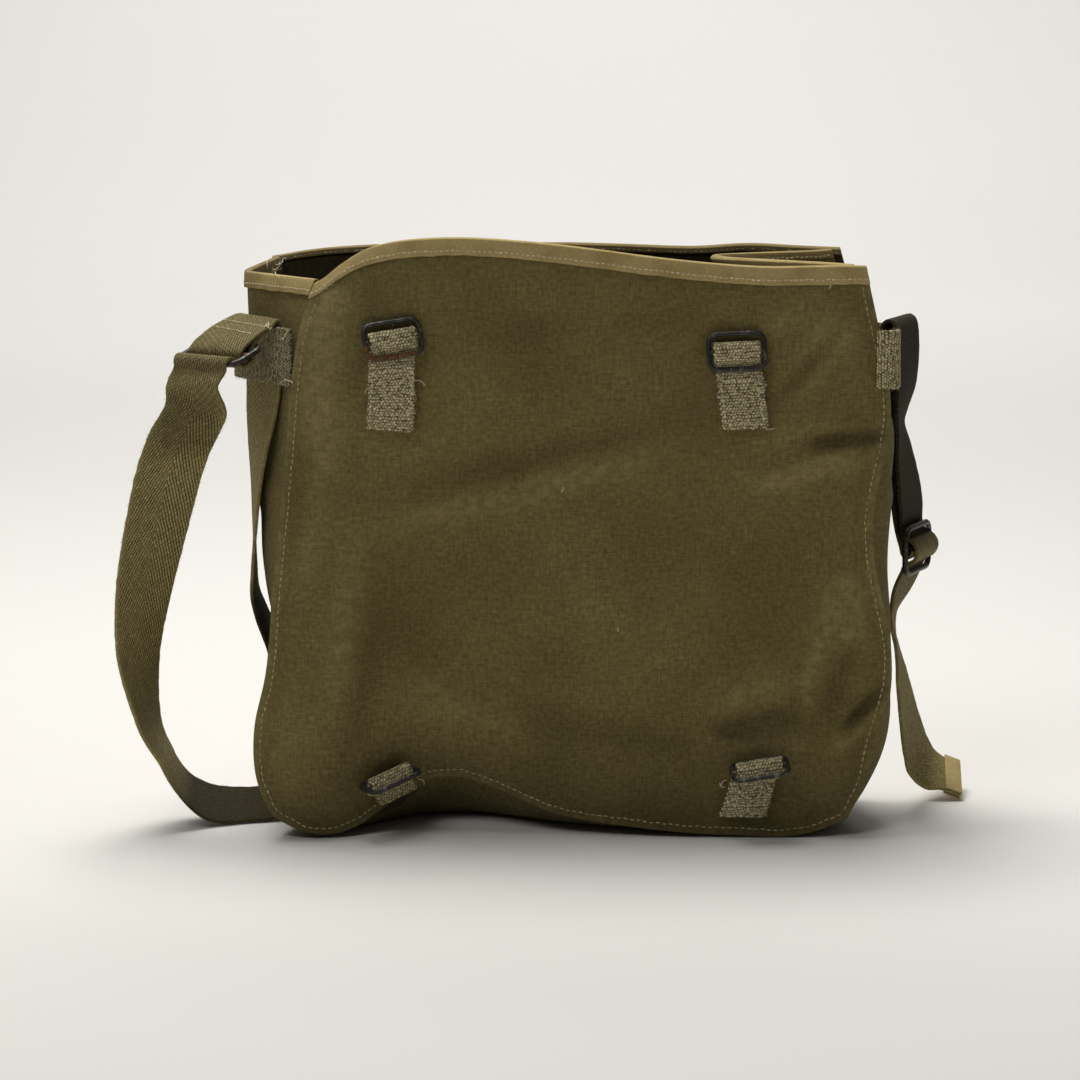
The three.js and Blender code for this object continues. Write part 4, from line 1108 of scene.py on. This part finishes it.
def set_darkening(piece):
    """Paints how dark each place of a band is: painted shade on some stretches, darker ones elsewhere.
    """
    places = places_of(piece.data)
    darkening = np.zeros(len(places))
    for row in DARKENINGS:
        if row.piece == piece.name:
            within = np.minimum(places - np.array(row.low), np.array(row.high) - places).min(axis=1)
            darkening = np.maximum(darkening, row.amount * np.clip(within / DARKENING_FADE, 0, 1))
    set_value(piece.data, "darkening", darkening)


print("dirty places", len(DARKENINGS))

# %% Tabs and keepers
FINE = 0.42 * MM
TAB_BAND = Band(1.6 * MM, FINE, 62, 0.6 * MM, 50)
KEEPER_BAND = Band(1.5 * MM, FINE, 76, 0.5 * MM, 60)

tab_pieces = {}
for number, node in enumerate(TAB_NODES):
    piece = webbing_band(node, node.replace("tab", "webbing_tab"), TAB_BAND, number)
    weave_relief(piece)
    tab_pieces[node] = finished(piece, tab_webbing, "webbing", node)
keeper_pieces = {}
for number, node in enumerate(KEEPER_NODES):
    piece = webbing_band(node, node + "_band", KEEPER_BAND, number)
    weave_relief(piece)
    set_darkening(piece)
    keeper_pieces[node] = finished(piece, tab_webbing, "webbing", node)

# %% Straps
STRAP_BAND = Band(2.0 * MM, 2 * MM, 15, 0.5 * MM, 70)

strap_pieces = {}
for number, node in enumerate(STRAP_ENDS):
    piece = webbing_band(node, node + "_band", STRAP_BAND, number)
    set_darkening(piece)
    strap_pieces[node] = finished(piece, strap_webbing, "strap", node)

# %% [markdown]
# ## Tan tape on the mouth and on the strap's end
# The raw edge of the mouth is bound with a folded tan tape. Its solid is a channel with eight
# corner lines: the middle of its wall gives four lines, and the fold over the edge is rounded by
# a small arch between the two upper ones. On the far rim and on the folded right side only a
# narrow hem of it shows on the near side, so each side has its own share of the depth. The tip of
# the right strap is bound in the same tape.

# %% Tape finish
TWILL_PITCH = 1.1 * MM
TAPE_FIBRE = (1400, 500, 1)
TAPE_PATCHES = Grain(45, 3.0, 0.48, 0.68)


def tape_finish(name, gap, body, pale, stain):
    f = Finish(name, 0.88, 0.03)
    flat = f.flat()
    across, along = band_ways(f, flat)
    twill = bump_wave(f, f.maths("DIVIDE", f.maths("ADD", across, along), TWILL_PITCH), 0.7)
    fibre = f.cloud(f.stretched(flat, TAPE_FIBRE), 1.0, 3.0)
    colour = f.mixed(f.level(twill, 0.1, 0.7), gap, body)
    colour = f.mixed(f.times(f.level(fibre, 0.5, 0.75), 0.6), colour, pale)
    colour = f.mixed(f.times(f.grain(flat, TAPE_PATCHES), 0.6), colour, stain)
    f.coloured(with_darkening(f, colour))
    f.relief(f.scaled(fibre, 0.5, twill), 0.5, 0.3 * MM)
    return f.material


tan_tape = tape_finish(
    "tan_tape", linear(130, 113, 69), linear(190, 168, 113), linear(224, 206, 156), linear(152, 126, 70)
)
print("finish", tan_tape.name, len(tan_tape.node_tree.nodes), "nodes")

# %% Mouth tapes
TAPE_THICK = 1.0 * MM
TAPE_ARCH = 0.6 * MM
TAPE_SOFT = 0.3 * MM
TAPE_STEP = 2 * MM
SIDE_SHARES = (0, 0.2, 0.4, 0.6, 0.8)
HEM_WANDER = 0.5 * MM
Turned = namedtuple("Turned", "near far")
TAPE_TURNED = {
    "rim_tape_back": Turned(1.0, 1.0),
    "rim_tape_front": Turned(0.3, 1.0),
    "rim_tape_left": Turned(1.0, 1.0),
    "rim_tape_right": Turned(0.42, 0.42),
}
ARCH_SHARES = (0, 0.25, 0.5, 0.75)


def tape_wall(node):
    """Four middle lines of a folded tape: hem, fold, fold, hem."""
    lines = corner_lines(node, 8)
    gap = [np.linalg.norm(lines[k] - lines[(k + 1) % 8], axis=1).mean() for k in range(8)]
    h = int(np.argmin(gap))
    pairs = [(h, h + 1), (h - 1, h + 2), (h - 2, h + 3), (h - 3, h + 4)]
    return np.array([(lines[a % 8] + lines[b % 8]) / 2 for a, b in pairs])


def folded_tape(node, name, step):
    wall, along = finer(tape_wall(node), step)
    if wall[0][:, 1].mean() > wall[3][:, 1].mean():
        wall = wall[::-1]
    turned = TAPE_TURNED[node]
    for hem, fold, share, seed in ((0, 1, turned.near, 31), (3, 2, turned.far, 32)):
        drop = wall[hem] - wall[fold]
        long = np.linalg.norm(drop, axis=1)[:, None]
        wander = rumple(along / MM, np.zeros_like(along), 9, seed)[:, None] * HEM_WANDER
        wall[hem] = wall[fold] + drop * (share + wander / long)
    up = wall[1] - wall[0] + wall[2] - wall[3]
    up /= np.linalg.norm(up, axis=1)[:, None]
    rows = [wall[0] * (1 - s) + wall[1] * s for s in SIDE_SHARES]
    arch = [math.sin(math.pi * s) * TAPE_ARCH for s in ARCH_SHARES]
    rows += [wall[1] * (1 - s) + wall[2] * s + up * a for s, a in zip(ARCH_SHARES, arch)]
    rows += [wall[2] * (1 - s) + wall[3] * s for s in (*SIDE_SHARES, 1)]
    rows = np.array(rows)
    across = np.linalg.norm(np.diff(rows, axis=0), axis=2).mean(axis=1)
    across = np.concatenate(([0], np.cumsum(across)))
    obj = band_mesh(name, rows, across, along)
    thicken(obj, TAPE_THICK, TAPE_SOFT)
    return obj, rows


tape_pieces = {}
tape_rows = {}
for node in TAPE_TURNED:
    piece, tape_rows[node] = folded_tape(node, node.replace("rim_tape", "mouth_tape"), TAPE_STEP)
    set_darkening(piece)
    tape_pieces[node] = finished(piece, tan_tape, "tape", node)

# %% Strap tip
tip = copy_of_solid("strap_tip", "strap_tip_tape")
soft_edges(tip, TAPE_SOFT, math.radians(50))
set_flat(tip.data, corner_places(tip.data, places_of(tip.data))[:, (1, 2)])
make_active(tip)
bpy.ops.object.shade_smooth_by_angle(angle=math.radians(40))
finished(tip, tan_tape, "tape", "strap_tip")

# %% [markdown]
# ## Buckles and slides of bent wire
# Each buckle is a rounded rectangle of blackened wire with a middle bar. A plane of the frame's
# size gets its corners bevelled, its face is deleted, and the loop left over becomes a curve with
# a round bevel. The bar is a thin cylinder joined to it. The place and lie come from the solid:
# its long axis, short axis and normal are the main axes of its own points. Rust is painted while
# the frame still lies flat, as spots with a place, a size and an amount.

# %% Steel finish
STEEL_MOTTLE = 700
RUBBED_BARE = Grain(260, 3.0, 0.55, 0.72)


def steel_finish():
    f = Finish("blackened_steel", 0.42)
    f.shader["Metallic"].default_value = 0.65
    space = f.space()
    mottle = f.cloud(space, STEEL_MOTTLE, 3.0)
    colour = f.mixed(mottle, linear(46, 45, 42), linear(80, 78, 73))
    colour = f.mixed(f.times(f.grain(space, RUBBED_BARE), 0.6), colour, linear(148, 143, 132))
    crust = f.mixed(f.level(mottle, 0.35, 0.65), linear(84, 62, 42), linear(146, 104, 68))
    eaten = f.level(f.scaled(mottle, 0.6, f.painted("rust")), 0.62, 0.86)
    f.coloured(f.mixed(eaten, colour, crust))
    f.feed(f.shader["Roughness"], f.scaled(eaten, 0.4, f.scaled(mottle, 0.25, 0.3)))
    f.relief(mottle, 0.4, 0.15 * MM)
    return f.material


blackened_steel = steel_finish()
print("finish", blackened_steel.name, len(blackened_steel.node_tree.nodes), "nodes")

# %% Wire frames
Wire = namedtuple("Wire", "node thick corner")
Rust = namedtuple("Rust", "node across up size amount")
WIRES = (
    *[Wire(node, 1.4 * MM, 5.2 * MM) for node in BUCKLE_NODES],
    Wire("slide_left", 1.75 * MM, 6.5 * MM),
    Wire("slide_right", 1.75 * MM, 6.5 * MM),
)
RUSTS = (
    Rust("buckle_upper_left", -15, -8, 5.5, 1.0),
    Rust("buckle_upper_left", 10, -9, 2.2, 0.9),
    Rust("buckle_lower_left", -12, -6, 4, 0.35),
    Rust("slide_left", 20, 0, 4, 0.8),
    Rust("slide_right", -18, 8, 5, 0.3),
)


def wire_axes(node):
    """Middle, axes and half sizes of a wire frame: along its bars, across them and its normal."""
    places = places_of(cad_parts[node].data)
    spread = np.cov((places - places.mean(axis=0)).T)
    axes = np.linalg.eigh(spread)[1].T[::-1]
    if axes[0][0] < 0:
        axes[0] = -axes[0]
    if axes[1][2] < 0:
        axes[1] = -axes[1]
    axes[2] = np.cross(axes[0], axes[1])
    reach = places @ axes.T
    middle = (reach.max(axis=0) + reach.min(axis=0)) / 2 @ axes
    return middle, axes, (reach.max(axis=0) - reach.min(axis=0)) / 2


print("wire frames", len(WIRES), "with", len(RUSTS), "rusty places")

# %% Bend the wire
def round_wire(obj, thick, resolution):
    """Turns the edges of a piece into round wire, by way of a curve with a bevel."""
    make_active(obj)
    bpy.ops.object.convert(target="CURVE")
    curve = bpy.context.object.data
    curve.bevel_depth = thick
    curve.bevel_resolution = resolution
    curve.use_fill_caps = True
    bpy.ops.object.convert(target="MESH")
    return bpy.context.object


def set_rust(mesh, node):
    """Paints the rusty places of a wire frame while it still lies flat."""
    flat = places_of(mesh) / MM
    eaten = np.zeros(len(flat))
    for rust in RUSTS:
        if rust.node == node:
            away = np.hypot(flat[:, 0] - rust.across, flat[:, 1] - rust.up)
            eaten = np.maximum(eaten, rust.amount * np.exp(-((away / rust.size) ** 2)))
    set_value(mesh, "rust", eaten)


def wire_frame(wire):
    """A rounded frame with a middle bar, of round wire, set where its solid is."""
    middle, axes, half = wire_axes(wire.node)
    wide, tall = half[0] - wire.thick, half[1] - wire.thick
    start_clean()
    bpy.ops.mesh.primitive_plane_add(size=2)
    ring = bpy.context.object
    ring.scale = (wide, tall, 1)
    bpy.ops.object.transform_apply(scale=True)
    bpy.ops.object.mode_set(mode="EDIT")
    bpy.ops.mesh.select_all(action="SELECT")
    bpy.ops.mesh.bevel(offset=wire.corner, segments=8, affect="VERTICES")
    bpy.ops.mesh.select_all(action="SELECT")
    bpy.ops.mesh.delete(type="ONLY_FACE")
    bpy.ops.object.mode_set(mode="OBJECT")
    ring = round_wire(ring, wire.thick, 4)
    bpy.ops.mesh.primitive_cylinder_add(
        vertices=12, radius=wire.thick, depth=2 * wide, end_fill_type="NOTHING",
        rotation=(0, math.pi / 2, 0),
    )
    bar = bpy.context.object
    bpy.ops.object.transform_apply(rotation=True)
    start_clean()
    bar.select_set(True)
    ring.select_set(True)
    bpy.context.view_layer.objects.active = ring
    bpy.ops.object.join()
    set_rust(ring.data, wire.node)
    turn = Matrix([list(a) for a in axes]).transposed().to_4x4()
    ring.data.transform(Matrix.Translation(Vector(middle)) @ turn)
    ring.name = wire.node + "_wire"
    face_outward(ring)
    smooth(ring)
    return ring


for wire in WIRES:
    finished(wire_frame(wire), blackened_steel, "steel", wire.node)

# %% [markdown]
# ## Stitching
# A stitch is a short plump piece of thread, pulled in at both ends. One is modelled from a small
# sphere, stretched along X, and copied along every sewn line. The seam lines follow the panel's
# outline a few millimetres inside it, and rays from outside drop them on the finished cloth.

# %% Thread finish and one stitch
THREAD_TONE = Grain(300, 2.0, 0.3, 0.7)
THREAD_TWIST = 2500


def thread_finish(name, dull, bright):
    f = Finish(name, 0.8, 0.2)
    space = f.space()
    f.coloured(f.mixed(f.grain(space, THREAD_TONE), dull, bright))
    f.relief(f.cloud(space, THREAD_TWIST, 1.0), 0.4, 0.1 * MM)
    return f.material


cotton_thread = thread_finish("cotton_thread", linear(154, 141, 101), linear(208, 195, 156))
dull_thread = thread_finish("dull_thread", linear(116, 106, 74), linear(168, 157, 119))
pale_thread = thread_finish("pale_thread", linear(182, 170, 130), linear(236, 225, 190))

start_clean()
bpy.ops.mesh.primitive_uv_sphere_add(segments=6, ring_count=5, radius=1)
stitch_model = bpy.context.object
bpy.ops.object.mode_set(mode="EDIT")
bpy.ops.mesh.select_all(action="SELECT")
bpy.ops.transform.rotate(value=math.pi / 2, orient_axis="Y", center_override=(0, 0, 0))
bpy.ops.object.mode_set(mode="OBJECT")
STITCH_POINTS = places_of(stitch_model.data)
STITCH_FACES = [list(face.vertices) for face in stitch_model.data.polygons]
bpy.data.objects.remove(stitch_model)
print("stitch", len(STITCH_POINTS), "points")

# %% Sewing helpers
Stitch = namedtuple("Stitch", "pitch length thick")
STITCH_LIFT = 0.35
STITCH_FLAT = 0.8
STITCH_STRAY = 0.25 * MM


def sew(name, runs, stitch, finish, slot, seed):
    """Copies the stitch along runs of (place, normal) points, and joins them into one piece."""
    chance = random.Random(seed)
    points = []
    faces = []
    for run in runs:
        if len(run) < 2:
            continue
        places = np.array([list(p) for p, n in run])
        normals = np.array([list(n) for p, n in run])
        reach = reach_along(places)
        for k in range(int(reach[-1] / stitch.pitch)):
            middle = (k + 0.5) * stitch.pitch
            ends = (middle - stitch.length / 2, middle + stitch.length / 2)
            a, b = (Vector(at_reach(end, reach, places)) for end in ends)
            normal = Vector(at_reach(middle, reach, normals))
            along = (b - a).normalized()
            side = normal.cross(along).normalized()
            up = along.cross(side)
            stray = chance.uniform(-1, 1) * STITCH_STRAY
            centre = (a + b) / 2 + up * stitch.thick * STITCH_LIFT + side * stray
            long = stitch.length / 2 * chance.uniform(0.85, 1.1)
            wide = stitch.thick * chance.uniform(0.85, 1.15)
            turn = Matrix((along * long, side * wide, up * stitch.thick * STITCH_FLAT)).transposed()
            base = len(points)
            points.extend((turn @ Vector(p) + centre)[:] for p in STITCH_POINTS)
            faces.extend([[i + base for i in face] for face in STITCH_FACES])
    mesh = bpy.data.meshes.new(name)
    mesh.from_pydata(points, [], faces)
    mesh.update()
    obj = linked(name, mesh)
    face_outward(obj)
    smooth(obj)
    return finished(obj, finish, slot)


def trees_of(*pieces):
    """Search trees of finished pieces by name, for rays."""
    bpy.context.view_layer.update()
    graph = bpy.context.evaluated_depsgraph_get()
    return {piece.name: BVHTree.FromObject(piece, graph) for piece in pieces}


def first_hit(trees, origin, direction):
    """The nearest hit of a ray on several trees: which tree, place and normal."""
    best = None
    for name, tree in trees.items():
        place, normal, index, distance = tree.ray_cast(origin, direction)
        if place is not None and (best is None or distance < best[3]):
            best = (name, place, normal, distance)
    return best


cover_trees = trees_of(
    *tab_pieces.values(), *keeper_pieces.values(), *tape_pieces.values(), *strap_pieces.values()
)
cloth_trees = trees_of(back_cloth, front_cloth, gusset_cloth)
print("search trees", len(cover_trees), "of webbing and tape,", len(cloth_trees), "of canvas")

# %% Panel seams
SEAM_INSET = 4.6 * MM
SEAM_STEP = 1.5 * MM
SEAM_STITCH = Stitch(3.7 * MM, 2.7 * MM, 0.36 * MM)
OUTSIDE = 0.4


def seam_runs(outline, facing, cloth):
    """Lines just inside a panel's outline, dropped on the cloth and broken where webbing covers it."""
    line = even_round(outline, SEAM_STEP, True)[0]
    x, z = line[:, 0], line[:, 2]
    area = np.sum(x * np.roll(z, -1) - z * np.roll(x, -1))
    ahead = np.roll(line, -4, axis=0) - np.roll(line, 4, axis=0)
    inward = np.column_stack([-ahead[:, 2], ahead[:, 0]]) * np.sign(area)
    inward /= np.linalg.norm(inward, axis=1)[:, None]
    trees = {cloth.name: cloth_trees[cloth.name], **cover_trees}
    runs = [[]]
    for point, push in zip(line, inward * SEAM_INSET):
        start = Vector((point[0] + push[0], facing * OUTSIDE, point[2] + push[1]))
        hit = first_hit(trees, start, Vector((0, -facing, 0)))
        if hit and hit[0] == cloth.name:
            runs[-1].append((hit[1], hit[2]))
        elif runs[-1]:
            runs.append([])
    return runs


back_runs = seam_runs(back_outline, -1, back_cloth)
sew("back_seam_stitches", back_runs, SEAM_STITCH, cotton_thread, "canvas", seed=5)
front_runs = seam_runs(front_outline, 1, front_cloth)
sew("front_seam_stitches", front_runs, SEAM_STITCH, cotton_thread, "canvas", seed=6)

# %% Mouth tape stitches
TAPE_LINE = 0.3
TAPE_STITCH = Stitch(3.0 * MM, 2.3 * MM, 0.42 * MM)


def tape_runs(rows, first, second, other):
    """A sewn line on one side of a folded tape, a share of the way up from its hem."""
    line = rows[first] * (1 - TAPE_LINE) + rows[second] * TAPE_LINE
    away = rows[first] - rows[other]
    away /= np.linalg.norm(away, axis=1)[:, None]
    return [(Vector(p + n * TAPE_THICK / 2), Vector(n)) for p, n in zip(line, away)]


mouth_runs = []
for rows in tape_rows.values():
    fold = len(SIDE_SHARES)
    mouth_runs.append(tape_runs(rows, 0, fold, len(rows) - 1))
    mouth_runs.append(tape_runs(rows, len(rows) - 1, fold + len(ARCH_SHARES), 0))
sew("mouth_tape_stitches", mouth_runs, TAPE_STITCH, pale_thread, "tape", seed=7)

# %% [markdown]
# ## Sewing on the webbing
# Three tabs are sewn down with a box of stitches, two of them with a cross in the box. The left
# strap's end is sewn back on itself in two rows, and one row holds the near edge of each keeper.
# These lines are given as points of the picture. A ray from the camera drops each one on the
# webbing, so the stitches lie on the cloth in every view.

# %% Picture lines on the pieces
def drop_on(trees, px, py):
    """Place and normal where the camera sees a point of the picture, or None."""
    hit = first_hit(trees, camera_place, picture_ray(px, py))
    if hit is None:
        return None
    normal = hit[2] if hit[2].dot(camera_back) > 0 else -hit[2]
    return hit[1], normal


def picture_run(trees, corners, step=1.5):
    """A run of (place, normal) points along a line of picture points."""
    run = []
    for (ax, ay), (bx, by) in zip(corners, corners[1:]):
        count = max(2, int(math.hypot(bx - ax, by - ay) / step))
        for k in range(count):
            f = k / (count - 1)
            hit = drop_on(trees, ax + (bx - ax) * f, ay + (by - ay) * f)
            if hit:
                run.append(hit)
    return run


middle_hit = first_hit(cloth_trees, camera_place, picture_ray(PICTURE_SIDE / 2, PICTURE_SIDE / 2))
print("the middle of the picture lies on", middle_hit[0])

# %% Tab and strap sewing
SewnBox = namedtuple("SewnBox", "node corners crossed")
SEWN_BOXES = (
    SewnBox("tab_upper_left", ((372, 372), (413, 370), (410, 415), (370, 414)), True),
    SewnBox("tab_upper_right", ((721, 381), (757, 381), (764, 424), (726, 424)), False),
    SewnBox("tab_lower_right", ((727, 784), (762, 784), (757, 805), (722, 805)), True),
)
TAB_STITCH = Stitch(2.9 * MM, 2.2 * MM, 0.5 * MM)
STRAP_STITCH = Stitch(2.2 * MM, 2.0 * MM, 0.44 * MM)
KEEPER_STITCH = Stitch(3.0 * MM, 2.2 * MM, 0.3 * MM)
STRAP_LINES = (((219, 319), (272, 328)), ((213, 326), (253, 334)))
KEEPER_LINES = {
    "keeper_left": ((286, 333), (286, 384)),
    "keeper_right": ((881, 334), (890, 384)),
}

tab_runs = []
for box in SEWN_BOXES:
    trees = trees_of(tab_pieces[box.node])
    tab_runs += [picture_run(trees, (box.corners[k - 1], box.corners[k])) for k in range(4)]
    if box.crossed:
        tab_runs += [picture_run(trees, (box.corners[k], box.corners[k + 2])) for k in (0, 1)]
sew("tab_stitches", tab_runs, TAB_STITCH, pale_thread, "webbing", seed=11)

strap_trees = trees_of(strap_pieces["strap_left"])
strap_runs = [picture_run(strap_trees, line) for line in STRAP_LINES]
sew("strap_end_stitches", strap_runs, STRAP_STITCH, pale_thread, "strap", seed=12)

keeper_runs = [picture_run(trees_of(keeper_pieces[node]), line) for node, line in KEEPER_LINES.items()]
sew("keeper_stitches", keeper_runs, KEEPER_STITCH, dull_thread, "webbing", seed=13)

# %% [markdown]
# ## Loose threads and fuzz
# Old cotton webbing sheds: threads pull out of the stitching and curl, and short fibres stand out
# from its edges. Hair particles could do this, but a few placed threads and a row of bent fibres
# can be set just where they grow. Each is a line of points that becomes a round tube by way of a
# curve. A loose thread starts on the cloth, at a point of the picture, and lifts off as it curls.

# %% Loose threads
Loose = namedtuple("Loose", "px py long lie curl lift seat")
LOOSE_THREADS = (
    Loose(413, 382, 14, -40, 120, 1.6, 0.22),
    Loose(412, 393, 11, 20, 130, 1.4, 0.2),
    Loose(371, 388, 9, 190, -120, 1.2, 0.2),
    Loose(410, 411, 9, 40, -160, 1.8, 0.3),
    Loose(387, 323, 8, -30, 130, 1.4, 0.2),
    Loose(756, 380, 17, 110, -110, 1.6, 0.24),
    Loose(758, 421, 10, 100, 60, 1.5, 0.26),
    Loose(764, 427, 10, 35, -60, 1.2, 0.24),
    Loose(759, 388, 11, 10, -150, 1.6, 0.2),
    Loose(722, 398, 8, 180, 130, 1.4, 0.2),
    Loose(727, 780, 9, 190, -110, 1.4, 0.26),
    Loose(725, 787, 8, 175, 100, 1.2, 0.24),
    Loose(762, 786, 9, 20, 140, 1.4, 0.24),
    Loose(742, 786, 9, 40, 200, 1.2, 0.2),
    Loose(418, 779, 9, -20, 150, 1.6, 0.2),
    Loose(281, 383, 15, -50, 110, 1.8, 0.3),
    Loose(266, 324, 9, -20, 260, 1.2, 0.34),
    Loose(269, 326, 8, 200, -260, 1.4, 0.34),
    Loose(830, 284, 5, 60, 100, 1.2, 0.28),
    Loose(288, 330, 11, 100, 40, 1.0, 0.22),
    Loose(563, 487, 5, 70, 80, 0.5, 0.16),
    Loose(617, 628, 4, 20, 120, 0.5, 0.16),
    Loose(279, 262, 12, 100, 70, 1.0, 0.26),
    Loose(272, 268, 14, 75, -60, 1.0, 0.24),
    Loose(284, 258, 12, 120, 50, 1.2, 0.24),
    Loose(276, 258, 10, 20, 120, 1.2, 0.22),
    Loose(268, 260, 12, 130, -70, 1.0, 0.22),
)
print("loose threads", len(LOOSE_THREADS))

# %% Threads as tubes
LOOSE_THICK = 0.26 * MM
LOOSE_SEAT = 0.6
LOOSE_LANDING = 0.8
THREAD_STEPS = 12


def loose_path(trees, loose):
    """A curled line that starts on the cloth and lifts off it, as points in space."""
    px, py = loose.px, loose.py
    points = []
    for k in range(THREAD_STEPS + 1):
        f = k / THREAD_STEPS
        hit = drop_on(trees, px, py)
        if hit is None:
            break
        landing = min(1.0, f * LOOSE_LANDING)
        rise = loose.seat * LOOSE_SEAT + loose.lift * math.sin(math.pi * landing)
        points.append(hit[0] + hit[1] * rise * MM)
        angle = math.radians(loose.lie + loose.curl * f)
        px += loose.long / THREAD_STEPS * math.cos(angle)
        py += loose.long / THREAD_STEPS * math.sin(angle)
    return points


def tubes(name, paths, thick, finish, slot):
    """Joins paths of points into one piece of thin round threads."""
    points = []
    edges = []
    for path in paths:
        base = len(points)
        points.extend(list(p) for p in path)
        edges.extend((base + k, base + k + 1) for k in range(len(path) - 1))
    mesh = bpy.data.meshes.new(name)
    mesh.from_pydata(points, edges, [])
    obj = linked(name, mesh)
    obj = round_wire(obj, thick, 1)
    obj.name = name
    bpy.ops.object.shade_smooth()
    return finished(obj, finish, slot)


all_trees = {**cloth_trees, **cover_trees}
loose_paths = [path for path in (loose_path(all_trees, one) for one in LOOSE_THREADS) if len(path) > 3]
tubes("loose_threads", loose_paths, LOOSE_THICK, pale_thread, "webbing")

# %% Fuzz on the webbing edges
Fuzz = namedtuple("Fuzz", "nodes every low high")
TAB_FUZZ = Fuzz(TAB_NODES + KEEPER_NODES, 1.1 * MM, 0.7 * MM, 2.4 * MM)
STRAP_FUZZ = Fuzz(tuple(STRAP_ENDS), 1.6 * MM, 0.6 * MM, 2.0 * MM)
FIBRE_THICK = 0.06 * MM
FIBRE_STRAY = 0.8
FIBRE_BEND = 0.9


def fuzz_paths(fuzz, seed):
    """Short bent fibres that stand out from both long edges of the bands."""
    chance = random.Random(seed)
    paths = []
    for node in fuzz.nodes:
        for line, outward in band_sides[node]:
            reach = reach_along(line)
            for k in range(int(reach[-1] / fuzz.every)):
                at = (k + chance.random()) * fuzz.every
                start = Vector(at_reach(at, reach, line))
                out = Vector(at_reach(at, reach, outward))
                stray = Vector([chance.uniform(-1, 1) for i in range(3)])
                bend = Vector([chance.uniform(-1, 1) for i in range(3)])
                half = chance.uniform(fuzz.low, fuzz.high) / 2
                heading = (out + FIBRE_STRAY * stray).normalized()
                middle = start + heading * half
                end = middle + (heading + FIBRE_BEND * bend).normalized() * half
                if min(middle.z, end.z) > 0:
                    paths.append([start, middle, end])
    return paths


tubes("webbing_fuzz", fuzz_paths(TAB_FUZZ, seed=21), FIBRE_THICK, dull_thread, "webbing")
tubes("strap_fuzz", fuzz_paths(STRAP_FUZZ, seed=22), FIBRE_THICK, dull_thread, "strap")

# %% [markdown]
# ## The finished pack
# The two panels and the long side strip were cut flat before they were sewn. At the end the scene is
# brought up to date.

# %% Bring the scene up to date
bpy.context.view_layer.update()
